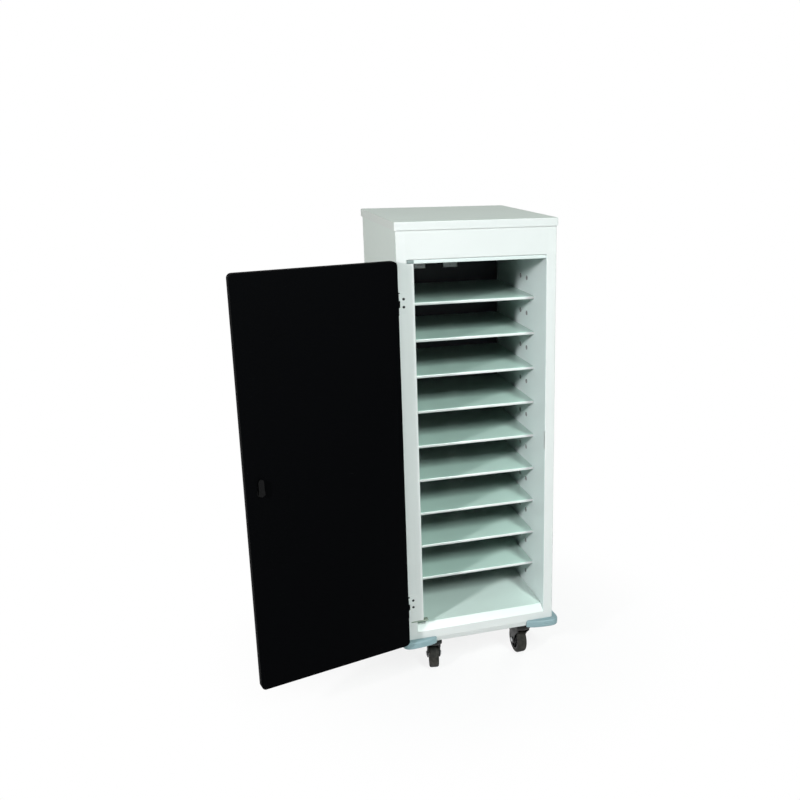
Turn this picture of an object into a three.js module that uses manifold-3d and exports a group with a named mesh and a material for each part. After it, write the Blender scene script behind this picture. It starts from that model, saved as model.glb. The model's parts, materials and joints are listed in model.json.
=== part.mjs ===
// Laptop charging cart: a tall sheet-metal cabinet on four swivel castors, with shelves, two
// outlet strips behind them and one hinged door, shown open.
//
// Millimetres, +Z up. The origin is on the floor under the middle of the cabinet, and the open
// front faces -Y.

import * as THREE from 'three';
import { mergeVertices } from 'three/addons/utils/BufferGeometryUtils.js';
import Module from 'manifold-3d';

const wasm = await Module();
wasm.setup();

// Cabinet
const bodyWidth = 400;
const bodyDepth = 428;
const sheet = 1.2;
const bendRadius = 1.5;
const fitGap = 0.3;
const stileWidth = 26;
const rearFlange = 15;
const wiringDuct = 28.5;

// Top lid and header
const lidSkirt = 20;
const lidOverhang = 3;
const lidRearOverhang = 10;
const lidEdgeRadius = 2.4;
const headerHeight = 69;
const headerReturn = 20;
const ceilingLip = 8.5;
const ceilingSetback = 2;

// Base
const floorRise = 56;
const sillSlopeDepth = 16;
const sillSlopeHeight = 18;
const sillKickHeight = 16;
const sillKickDepth = 6;
const sillReturn = 7.5;
const floorFlange = 30;
const basePlateThickness = 3;

// Shelves
const shelfCount = 9;
const shelfPitch = 92.7;
const topCompartment = 115.4;
const shelfSetback = 87;
const shelfLip = 8;
const shelfHem = 9;
const shelfFlange = 12;

// Holes in the inner walls, two above each shelf
const wallHoleDiameter = 7.5;
const wallHoleRise = 39;
const wallHoleSetback = 144;
const wallHoleSpacing = 49;

// Hinge post on the left of the opening
const postWidth = 16;
const postReturn = 18;
const postBottomGap = 15;

// Power outlets, two columns behind the shelves
const outletWidth = 40;
const outletHeight = 45;
const outletDrop = 6.7;
const outletProud = 3;
const outletLeftX = -56.5;
const outletRightX = 35.5;
const stripWidth = 50;
const stripDepth = 20;
const stripChamfer = 7;
const stripEndMargin = 12;

// Power unit above the compartments, its leads and the mains inlet
const powerSideGap = 49;
const powerFrontGap = 70;
const powerRearGap = 98;
const powerUnitHeight = 50;
const powerGrooveDepth = 6;
const powerGrooveWidth = 10;
const powerGroovePitch = 20;
const leadDiameter = 8;
const leadBend = 20;
const inletInset = 25;
const inletRise = 38;
const inletFlangeWidth = 50;
const inletFlangeHeight = 32;
const inletFlangeThickness = 2.5;
const inletCornerRadius = 3;
const inletBodyWidth = 32;
const inletBodyHeight = 24;
const inletBodyDepth = 22;
const inletRecessWidth = 24;
const inletRecessHeight = 16;
const inletRecessDepth = 16;

// Vent slots in the rear cover
const ventSlotLength = 90;
const ventSlotHeight = 3.6;
const ventSlotPitch = 11;
const ventSlotCount = 7;
const ventColumnOffset = 85;
const ventEndMargin = 130;

// Corner bumpers
const bumperReach = 75;
const bumperProud = 16;
const bumperEndProud = 4;
const bumperHeight = 20.5;
const bumperDrop = 2;
const bumperRound = 5;

// Door
const doorEdgeGap = 6.8;
const doorThickness = 20;
const doorClosingGap = 1.1;
const doorCornerRadius = 11;
const doorOpenAngle = 166.35;
const doorBumperGap = 2.2;
const doorHeaderOverlap = 2.3;

// Hinges
const hingeInset = 102;
const hingeHeight = 50;
const hingeAxisStandOff = 15;
const hingeKnuckleGap = 0.4;
const hingeLeaf = 1.6;
const hingeLeafWidth = 26;
const hingeBarrelRadius = 3.6;
const hingePinRadius = 1.6;
const doorLeafThickness = 1.2;
const doorLeafMargin = 1.5;

// Lock
const lockStileGap = 14;
const lockCamEngagement = 20;
const lockRise = 494;
const lockBarrelRadius = 9.5;
const lockFlangeRadius = 13;
const lockFlangeThickness = 2.5;
const lockNutProud = 2;
const lockPlugRadius = 6;
const keywayWidth = 2;
const keywayHeight = 8;
const keywayDepth = 8;
const lockCamBossMargin = 2.5;
const lockCamWidth = 13;
const lockCamThickness = 2.5;
const lockCamClearance = 1.3;
const lockSlotMargin = 2.5;

// Castors
const castorInsetX = 76;
const castorInsetY = 40;
const castorPlateSize = 52;
const castorPlateThickness = 3;
const castorPlateCorner = 6;
const castorPlateHoleDiameter = 6.5;
const castorPlateHolePitch = 36;
const castorTrail = 22;
const castorFrontLeftAngle = 11;
const castorFrontRightAngle = -3;
const castorRearAngle = -12;
const castorHeadRadius = 32;
const castorHeadWidth = 42;
const castorHeadHeight = 18.5;
const castorHeadRound = 13;
const castorHeadClearance = 9.4;
const kingpinRadius = 6;
const kingpinLength = 13;
const wheelRadius = 37.5;
const wheelWidth = 26;
const wheelShoulder = 5;
const wheelRimRadius = 27;
const wheelWebInset = 7;
const wheelHubRadius = 10;
const axleRadius = 4;
const axleHeadRadius = 7;
const axleHeadThickness = 2.5;
const forkLeg = 3;
const forkLegGap = 1.5;
const forkFootRadius = 11;
const forkCrown = 18;
const forkShoulder = 6;
const brakePivotOffset = 24;
const brakePivotRise = 1;
const brakeBossRadius = 5;
const brakeEarRadius = 8;
const brakePedalLength = 36;
const brakePedalThickness = 5;
const brakeToeLength = 9;
const brakeToeRise = 6;
const brakeSideGap = 0.6;
const pinProud = 1;
const brakePinRadius = 2.2;

// Places that several pieces share
const halfWidth = bodyWidth / 2;
const front = -bodyDepth / 2;
const rear = bodyDepth / 2;
const innerHalfWidth = halfWidth - stileWidth;
const fitHalfWidth = innerHalfWidth - fitGap;
const backFace = rear - wiringDuct - sheet;
const powerHalfWidth = innerHalfWidth - powerSideGap;
const inletX = powerHalfWidth - inletInset;
const headBottom = wheelRadius * 2 + castorHeadClearance;
const headTop = headBottom + castorHeadHeight;
const castorPlateBottom = headTop + fitGap;
const castorPlateTop = castorPlateBottom + castorPlateThickness;
const basePlateBottom = castorPlateTop + fitGap;
const groundClearance = basePlateBottom - fitGap - sheet;
const floorHeight = groundClearance + floorRise;
const ceilingTop = floorHeight + shelfCount * shelfPitch + topCompartment;
const ceilingBottom = ceilingTop - ceilingLip;
const headerBottom = ceilingTop + fitGap;
const headerTop = headerBottom + headerHeight;
const overallHeight = headerTop + lidSkirt;
const carcassTop = overallHeight - sheet - fitGap;
const bumperBottom = groundClearance - bumperDrop;
const bumperTop = bumperBottom + bumperHeight;
const doorBottom = bumperTop + doorBumperGap;
const doorTop = headerBottom + doorHeaderOverlap;
const hingeHeights = [doorBottom + hingeInset, doorTop - hingeInset];
const lockHeight = doorBottom + lockRise;
const lockCamLength = lockStileGap + lockCamEngagement;
const stripColumns = { left: outletLeftX, right: outletRightX };
const roundSides = 16;
const wheelSides = 22;
const smallSides = 12;
const holeSides = 8;
const hexSides = 6;
const roundSteps = 3;
const leadSteps = 10;

// How far a cutting solid runs past the face that it opens
const overcut = 2;

const materials = {
  carcass: { color: 0xe9ebe9, roughness: 0.42, metalness: 0.1 },
  inner: { color: 0xdde1df, roughness: 0.4, metalness: 0.1 },
  backPanel: { color: 0x1c1e20, roughness: 0.6, metalness: 0.1 },
  door: { color: 0x08090a, roughness: 0.45, metalness: 0.1 },
  bumper: { color: 0x8fa8b2, roughness: 0.6, metalness: 0 },
  outlet: { color: 0xe4e6e4, roughness: 0.45, metalness: 0 },
  blackPlastic: { color: 0x0d0e0f, roughness: 0.5, metalness: 0 },
  lead: { color: 0x16171a, roughness: 0.65, metalness: 0 },
  steel: { color: 0x9a9c9e, roughness: 0.35, metalness: 0.9 },
  castor: { color: 0x0b0c0d, roughness: 0.5, metalness: 0.1 },
  tread: { color: 0x3a3835, roughness: 0.8, metalness: 0 },
};

const cart = new THREE.Group();

// Solids from geometries, and back

function solidOf(geometry) {
  const bare = geometry.clone();
  bare.deleteAttribute('normal');
  bare.deleteAttribute('uv');
  const merged = mergeVertices(bare);
  const mesh = new wasm.Mesh({
    numProp: 3,
    vertProperties: Float32Array.from(merged.attributes.position.array),
    triVerts: Uint32Array.from(merged.index.array),
  });
  return new wasm.Manifold(mesh);
}

function geometryOf(solid) {
  const mesh = solid.getMesh();
  const geometry = new THREE.BufferGeometry();
  geometry.setAttribute('position', new THREE.BufferAttribute(mesh.vertProperties, 3));
  geometry.setIndex(new THREE.BufferAttribute(mesh.triVerts, 1));
  geometry.computeVertexNormals();
  return geometry;
}

function joined(solids) {
  return solids.reduce((whole, solid) => whole.add(solid));
}

function cutBy(solid, tools) {
  return tools.reduce((rest, tool) => rest.subtract(tool), solid);
}

function addMesh(name, solid, look, parent = cart) {
  const material = new THREE.MeshStandardMaterial(materials[look]);
  const mesh = new THREE.Mesh(geometryOf(solid), material);
  mesh.name = name;
  parent.add(mesh);
  return mesh;
}

// Basic forms

function block(x0, x1, y0, y1, z0, z1) {
  const geometry = new THREE.BoxGeometry(x1 - x0, y1 - y0, z1 - z0);
  geometry.translate((x0 + x1) / 2, (y0 + y1) / 2, (z0 + z1) / 2);
  return solidOf(geometry);
}

function extruded(shape, length, options = {}) {
  return new THREE.ExtrudeGeometry(shape, {
    depth: length,
    bevelEnabled: false,
    curveSegments: 2,
    ...options,
  });
}

// A plan outline (x, y) raised from z0 to z1
function raised(shape, z0, z1) {
  return solidOf(extruded(shape, z1 - z0).translate(0, 0, z0));
}

// A side outline (y, z) run along X from x0 to x1
function alongX(shape, x0, x1) {
  const turn = new THREE.Matrix4().makeBasis(
    new THREE.Vector3(0, 1, 0),
    new THREE.Vector3(0, 0, 1),
    new THREE.Vector3(1, 0, 0),
  );
  return solidOf(extruded(shape, x1 - x0).applyMatrix4(turn).translate(x0, 0, 0));
}

// A front outline (x, z) run along Y from y0 to y1
function alongY(shape, y0, y1) {
  const geometry = extruded(shape, y1 - y0).rotateX(Math.PI / 2);
  return solidOf(geometry.translate(0, y1, 0));
}

function polygon(points) {
  return new THREE.Shape(points.map(([u, v]) => new THREE.Vector2(u, v)));
}

function roundedRectangle(u0, u1, v0, v1, radius) {
  const shape = new THREE.Shape();
  shape.moveTo(u0 + radius, v0);
  shape.lineTo(u1 - radius, v0);
  shape.absarc(u1 - radius, v0 + radius, radius, -Math.PI / 2, 0);
  shape.lineTo(u1, v1 - radius);
  shape.absarc(u1 - radius, v1 - radius, radius, 0, Math.PI / 2);
  shape.lineTo(u0 + radius, v1);
  shape.absarc(u0 + radius, v1 - radius, radius, Math.PI / 2, Math.PI);
  shape.lineTo(u0, v0 + radius);
  shape.absarc(u0 + radius, v0 + radius, radius, Math.PI, Math.PI * 1.5);
  return shape;
}

// Round bars along Z, X and Y
function barZ(x, y, radius, z0, z1, sides = smallSides) {
  const geometry = new THREE.CylinderGeometry(radius, radius, z1 - z0, sides).rotateX(Math.PI / 2);
  return solidOf(geometry.translate(x, y, (z0 + z1) / 2));
}

function barX(y, z, radius, x0, x1, sides = smallSides) {
  const geometry = new THREE.CylinderGeometry(radius, radius, x1 - x0, sides).rotateZ(Math.PI / 2);
  return solidOf(geometry.translate((x0 + x1) / 2, y, z));
}

function barY(x, z, radius, y0, y1, sides = smallSides) {
  const geometry = new THREE.CylinderGeometry(radius, radius, y1 - y0, sides);
  return solidOf(geometry.translate(x, (y0 + y1) / 2, z));
}

// Outline of a bent sheet. The path is one face of the sheet, the metal lies on its left, and each
// corner is a true bend with the inside radius given.
function bentSheet(path, thickness = sheet, insideRadius = bendRadius) {
  const points = path.map(([u, v]) => new THREE.Vector2(u, v));
  const pathSide = [];
  const metalSide = [];
  const direction = (i) => points[i + 1].clone().sub(points[i]).normalize();
  const leftOf = (d) => new THREE.Vector2(-d.y, d.x);
  const last = points.length - 1;
  pathSide.push(points[0]);
  metalSide.push(points[0].clone().addScaledVector(leftOf(direction(0)), thickness));
  for (let i = 1; i < last; i += 1) {
    const before = direction(i - 1);
    const after = direction(i);
    const turn = Math.atan2(before.cross(after), before.dot(after));
    const side = Math.sign(turn);
    const pathRadius = side > 0 ? insideRadius + thickness : insideRadius;
    const metalRadius = side > 0 ? insideRadius : insideRadius + thickness;
    const tangent = pathRadius * Math.tan(Math.abs(turn) / 2);
    const toCentre = leftOf(before).multiplyScalar(side);
    const centre = points[i].clone().addScaledVector(before, -tangent);
    centre.addScaledVector(toCentre, pathRadius);
    const steps = Math.max(1, Math.round(Math.abs(turn) / (Math.PI / 6)));
    for (let k = 0; k <= steps; k += 1) {
      const spoke = toCentre.clone().negate().rotateAround(new THREE.Vector2(), (turn * k) / steps);
      pathSide.push(centre.clone().addScaledVector(spoke, pathRadius));
      metalSide.push(centre.clone().addScaledVector(spoke, metalRadius));
    }
  }
  pathSide.push(points[last]);
  metalSide.push(points[last].clone().addScaledVector(leftOf(direction(last - 1)), thickness));
  return new THREE.Shape([...pathSide, ...metalSide.reverse()]);
}

// Side panels: outer skin, front stile, inner wall and rear flange bent from one sheet

function wallHoles(wallX) {
  const holes = [];
  for (let level = 0; level <= shelfCount; level += 1) {
    const z = floorHeight + level * shelfPitch + wallHoleRise;
    for (const setback of [wallHoleSetback, wallHoleSetback + wallHoleSpacing]) {
      const y = front + setback;
      holes.push(barX(y, z, wallHoleDiameter / 2, wallX - overcut, wallX + overcut, holeSides));
    }
  }
  return holes;
}

function sidePanel(sign) {
  const rearEnd = rear - sheet - fitGap;
  const wallEnd = backFace + sheet + wiringDuct / 2;
  const path = [
    [innerHalfWidth, wallEnd],
    [innerHalfWidth, front],
    [halfWidth, front],
    [halfWidth, rearEnd],
    [halfWidth - rearFlange, rearEnd],
  ];
  const mirrored = path.map(([x, y]) => [-x, y]).reverse();
  const profile = bentSheet(sign > 0 ? path : mirrored);
  return raised(profile, groundClearance, carcassTop);
}

const camFace = front + sheet + lockCamClearance;

// Slot in the right inner wall that the lock's cam swings into
function lockSlot() {
  const tipSweep = Math.hypot(lockCamLength, lockCamWidth / 2);
  return block(
    innerHalfWidth - overcut,
    innerHalfWidth + overcut,
    camFace - lockCamClearance / 2,
    camFace + lockCamThickness + lockCamClearance,
    lockHeight - lockCamWidth / 2 - lockSlotMargin,
    lockHeight + tipSweep + lockSlotMargin,
  );
}

addMesh('side_panel_left', cutBy(sidePanel(-1), wallHoles(-innerHalfWidth)), 'carcass');
const rightCuts = [...wallHoles(innerHalfWidth), lockSlot()];
addMesh('side_panel_right', cutBy(sidePanel(1), rightCuts), 'carcass');

// Hinge post: a channel that closes the left of the opening beside the stile

function hingePost() {
  const outer = -innerHalfWidth + fitGap;
  const inner = outer + postWidth;
  const profile = bentSheet([
    [inner, front + postReturn],
    [inner, front],
    [outer, front],
    [outer, front + postReturn],
  ].reverse());
  return raised(profile, floorHeight + postBottomGap, ceilingBottom);
}

addMesh('hinge_post', hingePost(), 'carcass');

// Header above the opening, and the compartment ceiling with its front lip

const headerProfile = bentSheet([
  [front + headerReturn, headerBottom],
  [front, headerBottom],
  [front, carcassTop],
].reverse());
addMesh('header_panel', alongX(headerProfile, -fitHalfWidth, fitHalfWidth), 'carcass');

const ceilingProfile = bentSheet([
  [backFace - fitGap, ceilingTop],
  [front + ceilingSetback, ceilingTop],
  [front + ceilingSetback, ceilingBottom],
]);
addMesh('compartment_ceiling', alongX(ceilingProfile, -fitHalfWidth, fitHalfWidth), 'inner');

// Top lid: a cap with rounded upper edges that hangs over the carcass

function topLid() {
  const x = halfWidth + lidOverhang;
  const y0 = front - lidOverhang;
  const y1 = rear + lidRearOverhang;
  const outline = roundedRectangle(-x, x, y0, y1, lidEdgeRadius + sheet);
  const cap = extruded(outline, lidSkirt - lidEdgeRadius, {
    bevelEnabled: true,
    bevelThickness: lidEdgeRadius,
    bevelSize: lidEdgeRadius,
    bevelOffset: -lidEdgeRadius,
    bevelSegments: 2,
    curveSegments: 2,
  });
  const whole = solidOf(cap.translate(0, 0, headerTop));
  const under = block(-x, x, y0, y1, headerTop - lidSkirt, headerTop);
  const inside = roundedRectangle(-x + sheet, x - sheet, y0 + sheet, y1 - sheet, lidEdgeRadius);
  const hollow = raised(inside, headerTop - lidSkirt, overallHeight - sheet);
  return cutBy(whole, [under, hollow]);
}

addMesh('top_lid', topLid(), 'carcass');

// Base: the compartment floor and the sill, bent from one sheet, over a flat base plate

function basePlinth() {
  const flangeDrop = floorHeight - floorFlange;
  const rearEdge = backFace - fitGap;
  const slopeFoot = floorHeight - sillSlopeHeight;
  const kickTop = groundClearance + sillKickHeight;
  const profile = bentSheet([
    [rearEdge, flangeDrop],
    [rearEdge, floorHeight],
    [front + sillSlopeDepth, floorHeight],
    [front, slopeFoot],
    [front, kickTop],
    [front + sillKickDepth, groundClearance],
    [front + sillKickDepth + sillReturn, groundClearance],
  ]);
  const tray = alongX(profile, -fitHalfWidth, fitHalfWidth);
  const sideFlange = (x) => block(
    x,
    x + sheet,
    front + sillSlopeDepth + bendRadius,
    rearEdge - sheet - fitGap,
    flangeDrop,
    floorHeight - sheet / 2,
  );
  return joined([tray, sideFlange(-fitHalfWidth), sideFlange(fitHalfWidth - sheet)]);
}

addMesh('base_plinth', basePlinth(), 'carcass');

const basePlate = block(
  -fitHalfWidth,
  fitHalfWidth,
  front + sillKickDepth + sheet + bendRadius,
  rear - sheet - fitGap,
  basePlateBottom,
  basePlateBottom + basePlateThickness,
);
addMesh('base_plate', basePlate, 'carcass');

// Shelves: front edge hemmed down and back, side edges turned down

function shelf(top) {
  const shelfFront = front + shelfSetback;
  const shelfRear = backFace - fitGap;
  const profile = bentSheet([
    [shelfRear, top],
    [shelfFront, top],
    [shelfFront, top - shelfLip],
    [shelfFront + shelfHem, top - shelfLip],
  ]);
  const sideFlange = (x) => block(
    x,
    x + sheet,
    shelfFront + shelfHem + bendRadius,
    shelfRear - fitGap,
    top - shelfFlange,
    top - sheet / 2,
  );
  const tray = alongX(profile, -fitHalfWidth, fitHalfWidth);
  return joined([tray, sideFlange(-fitHalfWidth), sideFlange(fitHalfWidth - sheet)]);
}

for (let level = 1; level <= shelfCount; level += 1) {
  addMesh(`shelf_${level}`, shelf(floorHeight + level * shelfPitch), 'inner');
}

// Back panel with a cut-out for each outlet, and the outlet strips behind it

function outletTop(level) {
  return floorHeight + (level + 1) * shelfPitch - outletDrop;
}

function outletBlock(x, level, margin, y0, y1) {
  const top = outletTop(level);
  return block(
    x - outletWidth / 2 - margin,
    x + outletWidth / 2 + margin,
    y0,
    y1,
    top - outletHeight - margin,
    top + margin,
  );
}

function backPanel() {
  const flangeEnd = backFace + sheet + wiringDuct / 2;
  const profile = bentSheet([
    [-fitHalfWidth, flangeEnd],
    [-fitHalfWidth, backFace],
    [fitHalfWidth, backFace],
    [fitHalfWidth, flangeEnd],
  ]);
  const panel = raised(profile, floorHeight + fitGap, ceilingBottom - fitGap);
  const holes = [];
  for (const x of Object.values(stripColumns)) {
    for (let level = 0; level <= shelfCount; level += 1) {
      holes.push(outletBlock(x, level, fitGap, backFace - overcut, backFace + sheet + overcut));
    }
  }
  return cutBy(panel, holes);
}

addMesh('back_panel', backPanel(), 'backPanel');

const stripFront = backFace + sheet + fitGap;
const stripRear = stripFront + stripDepth;
const stripBottom = outletTop(0) - outletHeight - stripEndMargin;
const stripTop = outletTop(shelfCount) + stripEndMargin;

function outletStrip(x) {
  const half = stripWidth / 2;
  const channel = polygon([
    [x - half, stripFront],
    [x + half, stripFront],
    [x + half, stripRear - stripChamfer],
    [x + half - stripChamfer, stripRear],
    [x - half + stripChamfer, stripRear],
    [x - half, stripRear - stripChamfer],
  ]);
  const pieces = [raised(channel, stripBottom, stripTop)];
  for (let level = 0; level <= shelfCount; level += 1) {
    pieces.push(outletBlock(x, level, 0, backFace - outletProud, stripFront + sheet));
  }
  return joined(pieces);
}

for (const [side, x] of Object.entries(stripColumns)) {
  addMesh(`outlet_strip_${side}`, outletStrip(x), 'outlet');
}

// Rear: a fixed panel that holds the mains inlet and, under it, a cover with vent slots

const inletZ = headerBottom + inletRise;

function rearHeader() {
  const panel = block(-halfWidth, halfWidth, rear - sheet, rear, headerBottom, headerTop - fitGap);
  const hole = block(
    inletX - inletBodyWidth / 2 - fitGap,
    inletX + inletBodyWidth / 2 + fitGap,
    rear - sheet - overcut,
    rear + overcut,
    inletZ - inletBodyHeight / 2 - fitGap,
    inletZ + inletBodyHeight / 2 + fitGap,
  );
  return panel.subtract(hole);
}

addMesh('rear_header', rearHeader(), 'carcass');

function slotOutline(x, z) {
  const end = ventSlotLength / 2;
  const half = ventSlotHeight / 2;
  return polygon([
    [x - end, z],
    [x - end + half, z - half],
    [x + end - half, z - half],
    [x + end, z],
    [x + end - half, z + half],
    [x - end + half, z + half],
  ]);
}

function rearCover() {
  const cover = block(-halfWidth, halfWidth, rear - sheet, rear, groundClearance, headerBottom - fitGap);
  const cuts = [];
  const groups = [groundClearance + ventEndMargin, headerBottom - ventEndMargin];
  for (const z of groups) {
    for (const x of [-ventColumnOffset, ventColumnOffset]) {
      for (let row = 0; row < ventSlotCount; row += 1) {
        const slotZ = z + (row - (ventSlotCount - 1) / 2) * ventSlotPitch;
        cuts.push(alongY(slotOutline(x, slotZ), rear - sheet - overcut, rear + overcut));
      }
    }
  }
  return cutBy(cover, cuts);
}

addMesh('rear_cover', rearCover(), 'carcass');

function mainsInlet() {
  const flangeBack = rear + fitGap;
  const flangeFace = flangeBack + inletFlangeThickness;
  const flange = alongY(
    roundedRectangle(
      inletX - inletFlangeWidth / 2,
      inletX + inletFlangeWidth / 2,
      inletZ - inletFlangeHeight / 2,
      inletZ + inletFlangeHeight / 2,
      inletCornerRadius,
    ),
    flangeBack,
    flangeFace,
  );
  const body = block(
    inletX - inletBodyWidth / 2,
    inletX + inletBodyWidth / 2,
    flangeFace - inletBodyDepth,
    flangeFace,
    inletZ - inletBodyHeight / 2,
    inletZ + inletBodyHeight / 2,
  );
  const recess = block(
    inletX - inletRecessWidth / 2,
    inletX + inletRecessWidth / 2,
    flangeFace - inletRecessDepth,
    flangeFace + overcut,
    inletZ - inletRecessHeight / 2,
    inletZ + inletRecessHeight / 2,
  );
  return cutBy(joined([flange, body]), [recess]);
}

addMesh('mains_inlet', mainsInlet(), 'blackPlastic');

// Power unit on the ceiling, with cooling grooves along its top

const powerFront = front + powerFrontGap;
const powerRear = rear - powerRearGap;
const powerBottom = ceilingTop + fitGap;
const powerTop = powerBottom + powerUnitHeight;

function powerUnit() {
  const box = block(-powerHalfWidth, powerHalfWidth, powerFront, powerRear, powerBottom, powerTop);
  const grooves = [];
  const count = Math.floor((powerHalfWidth * 2) / powerGroovePitch) - 1;
  for (let i = 0; i < count; i += 1) {
    const x = (i - (count - 1) / 2) * powerGroovePitch;
    grooves.push(block(
      x - powerGrooveWidth / 2,
      x + powerGrooveWidth / 2,
      powerFront - overcut,
      powerRear + overcut,
      powerTop - powerGrooveDepth,
      powerTop + overcut,
    ));
  }
  return cutBy(box, grooves);
}

addMesh('power_unit', powerUnit(), 'blackPlastic');

// Leads inside the cabinet: power unit to each strip, and mains inlet to power unit

function lead(points) {
  const route = points.map((point) => new THREE.Vector3(...point));
  const path = new THREE.CatmullRomCurve3(route, false, 'centripetal');
  const section = new THREE.Shape().absarc(0, 0, leadDiameter / 2, 0, Math.PI * 2);
  return solidOf(extruded(section, 0, { steps: leadSteps, extrudePath: path, curveSegments: 4 }));
}

const leadZ = powerBottom + powerUnitHeight / 2;
const ductMiddle = (stripFront + stripRear) / 2;
const bendShare = 1 - Math.SQRT1_2;

for (const [side, x] of Object.entries(stripColumns)) {
  const end = stripTop + fitGap;
  const points = [
    [x, powerRear + fitGap, leadZ],
    [x, (powerRear + ductMiddle - leadBend) / 2, leadZ],
    [x, ductMiddle - leadBend, leadZ],
    [x, ductMiddle - leadBend * bendShare, leadZ - leadBend * bendShare],
    [x, ductMiddle, leadZ - leadBend],
    [x, ductMiddle, end],
  ];
  addMesh(`outlet_lead_${side}`, lead(points), 'lead');
}

const inletInnerEnd = rear + fitGap + inletFlangeThickness - inletBodyDepth - fitGap;
addMesh('mains_lead', lead([
  [inletX, inletInnerEnd, inletZ],
  [inletX, inletInnerEnd - leadBend, inletZ],
  [inletX, powerRear + fitGap + leadBend, leadZ],
  [inletX, powerRear + fitGap, leadZ],
]), 'lead');

// Corner bumpers: one wrap-round moulding, the same at all four corners

function bumper() {
  const inset = bumperRound * 2;
  const tip = bumperReach;
  const middle = bumperReach / 2;
  const bulge = (bumperProud + bumperEndProud) / 2;
  const shape = new THREE.Shape();
  shape.moveTo(inset, inset);
  shape.lineTo(inset, tip);
  shape.lineTo(-bumperEndProud, tip);
  shape.bezierCurveTo(-bulge, tip, -bumperProud, middle, -bumperProud, bumperProud / 2);
  shape.quadraticCurveTo(-bumperProud, -bumperProud, bumperProud / 2, -bumperProud);
  shape.bezierCurveTo(middle, -bumperProud, tip, -bulge, tip, -bumperEndProud);
  shape.lineTo(tip, inset);
  const moulding = extruded(shape, bumperHeight - bumperRound * 2, {
    bevelEnabled: true,
    bevelThickness: bumperRound,
    bevelSize: bumperRound,
    bevelOffset: -bumperRound,
    bevelSegments: 2,
    curveSegments: 6,
  });
  const end = bumperReach + overcut;
  const seat = block(-fitGap, end, -fitGap, end, -overcut, bumperHeight + overcut);
  return solidOf(moulding.translate(0, 0, bumperRound)).subtract(seat);
}

const bumperSolid = bumper();
const bumperCorners = [
  ['front_left', -halfWidth, front, 0],
  ['front_right', halfWidth, front, Math.PI / 2],
  ['rear_right', halfWidth, rear, Math.PI],
  ['rear_left', -halfWidth, rear, -Math.PI / 2],
];
for (const [corner, x, y, turn] of bumperCorners) {
  const mesh = addMesh(`bumper_${corner}`, bumperSolid, 'bumper');
  mesh.position.set(x, y, bumperBottom);
  mesh.rotation.z = turn;
}

// Door, drawn closed about its hinge axis and then swung open

const hingeX = -halfWidth;
const hingeY = front - hingeAxisStandOff;
const doorGroup = new THREE.Group();
doorGroup.position.set(hingeX, hingeY, 0);
doorGroup.rotation.z = THREE.MathUtils.degToRad(-doorOpenAngle);
cart.add(doorGroup);

const doorInner = hingeAxisStandOff - hingeLeaf - fitGap - doorClosingGap;
const doorOuter = doorInner - doorThickness;
const doorLeft = hingeBarrelRadius + hingeKnuckleGap + doorLeafThickness + fitGap;
const doorRight = bodyWidth - doorEdgeGap;
const lockX = bodyWidth - stileWidth - lockStileGap;

function doorOutline(inset) {
  return roundedRectangle(
    doorLeft + inset,
    doorRight - inset,
    doorBottom + inset,
    doorTop - inset,
    doorCornerRadius - inset,
  );
}

function lockHole() {
  const radius = lockBarrelRadius + fitGap;
  return barY(lockX, lockHeight, radius, doorOuter - overcut, doorInner + overcut, roundSides);
}

const linerBack = doorInner - sheet;
const doorSkin = cutBy(alongY(doorOutline(0), doorOuter, linerBack - fitGap), [
  alongY(doorOutline(sheet), doorOuter + sheet, doorInner),
  lockHole(),
]);
addMesh('door_skin', doorSkin, 'door', doorGroup);

const doorLiner = cutBy(alongY(doorOutline(0), linerBack, doorInner), [lockHole()]);
addMesh('door_liner', doorLiner, 'door', doorGroup);

// Hinges: a frame leaf with two knuckles, a door leaf with the middle knuckle, and a pin

function hingeParts(z) {
  const bottom = z - hingeHeight / 2;
  const top = z + hingeHeight / 2;
  const lowKnuckle = bottom + hingeHeight / 3;
  const highKnuckle = top - hingeHeight / 3;
  const frameFace = hingeAxisStandOff - fitGap;
  const bore = barZ(0, 0, hingePinRadius + fitGap, bottom - overcut, top + overcut);
  const leafProfile = bentSheet([
    [hingeLeafWidth - hingeLeaf / 2, frameFace],
    [-hingeLeaf / 2, frameFace],
    [-hingeLeaf / 2, 0],
  ], hingeLeaf, bendRadius / 2);
  const frameLeaf = cutBy(
    joined([
      raised(leafProfile, bottom, top),
      barZ(0, 0, hingeBarrelRadius, bottom, lowKnuckle),
      barZ(0, 0, hingeBarrelRadius, highKnuckle, top),
    ]),
    [
      block(
        -hingeBarrelRadius * 2,
        hingeBarrelRadius * 2,
        -hingeBarrelRadius * 2,
        hingeBarrelRadius + fitGap * 2,
        lowKnuckle,
        highKnuckle,
      ),
      bore,
    ],
  );
  const leafX = doorLeft - fitGap - doorLeafThickness;
  const leafFront = doorOuter + doorLeafMargin;
  const leafBack = doorInner - doorLeafMargin;
  const webHalf = hingeLeaf / 2;
  const webBottom = lowKnuckle + fitGap;
  const webTop = highKnuckle - fitGap;
  const doorLeaf = joined([
    block(leafX, leafX + doorLeafThickness, leafFront, leafBack, bottom, top),
    block(0, leafX + doorLeafThickness / 2, -webHalf, webHalf, webBottom, webTop),
    barZ(0, 0, hingeBarrelRadius, webBottom, webTop),
  ]).subtract(bore);
  const pin = joined([
    barZ(0, 0, hingePinRadius, bottom, top + fitGap * 2),
    barZ(0, 0, hingeBarrelRadius - fitGap, top + fitGap, top + fitGap + hingeLeaf),
  ]);
  return { frameLeaf, doorLeaf, pin };
}

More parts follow.
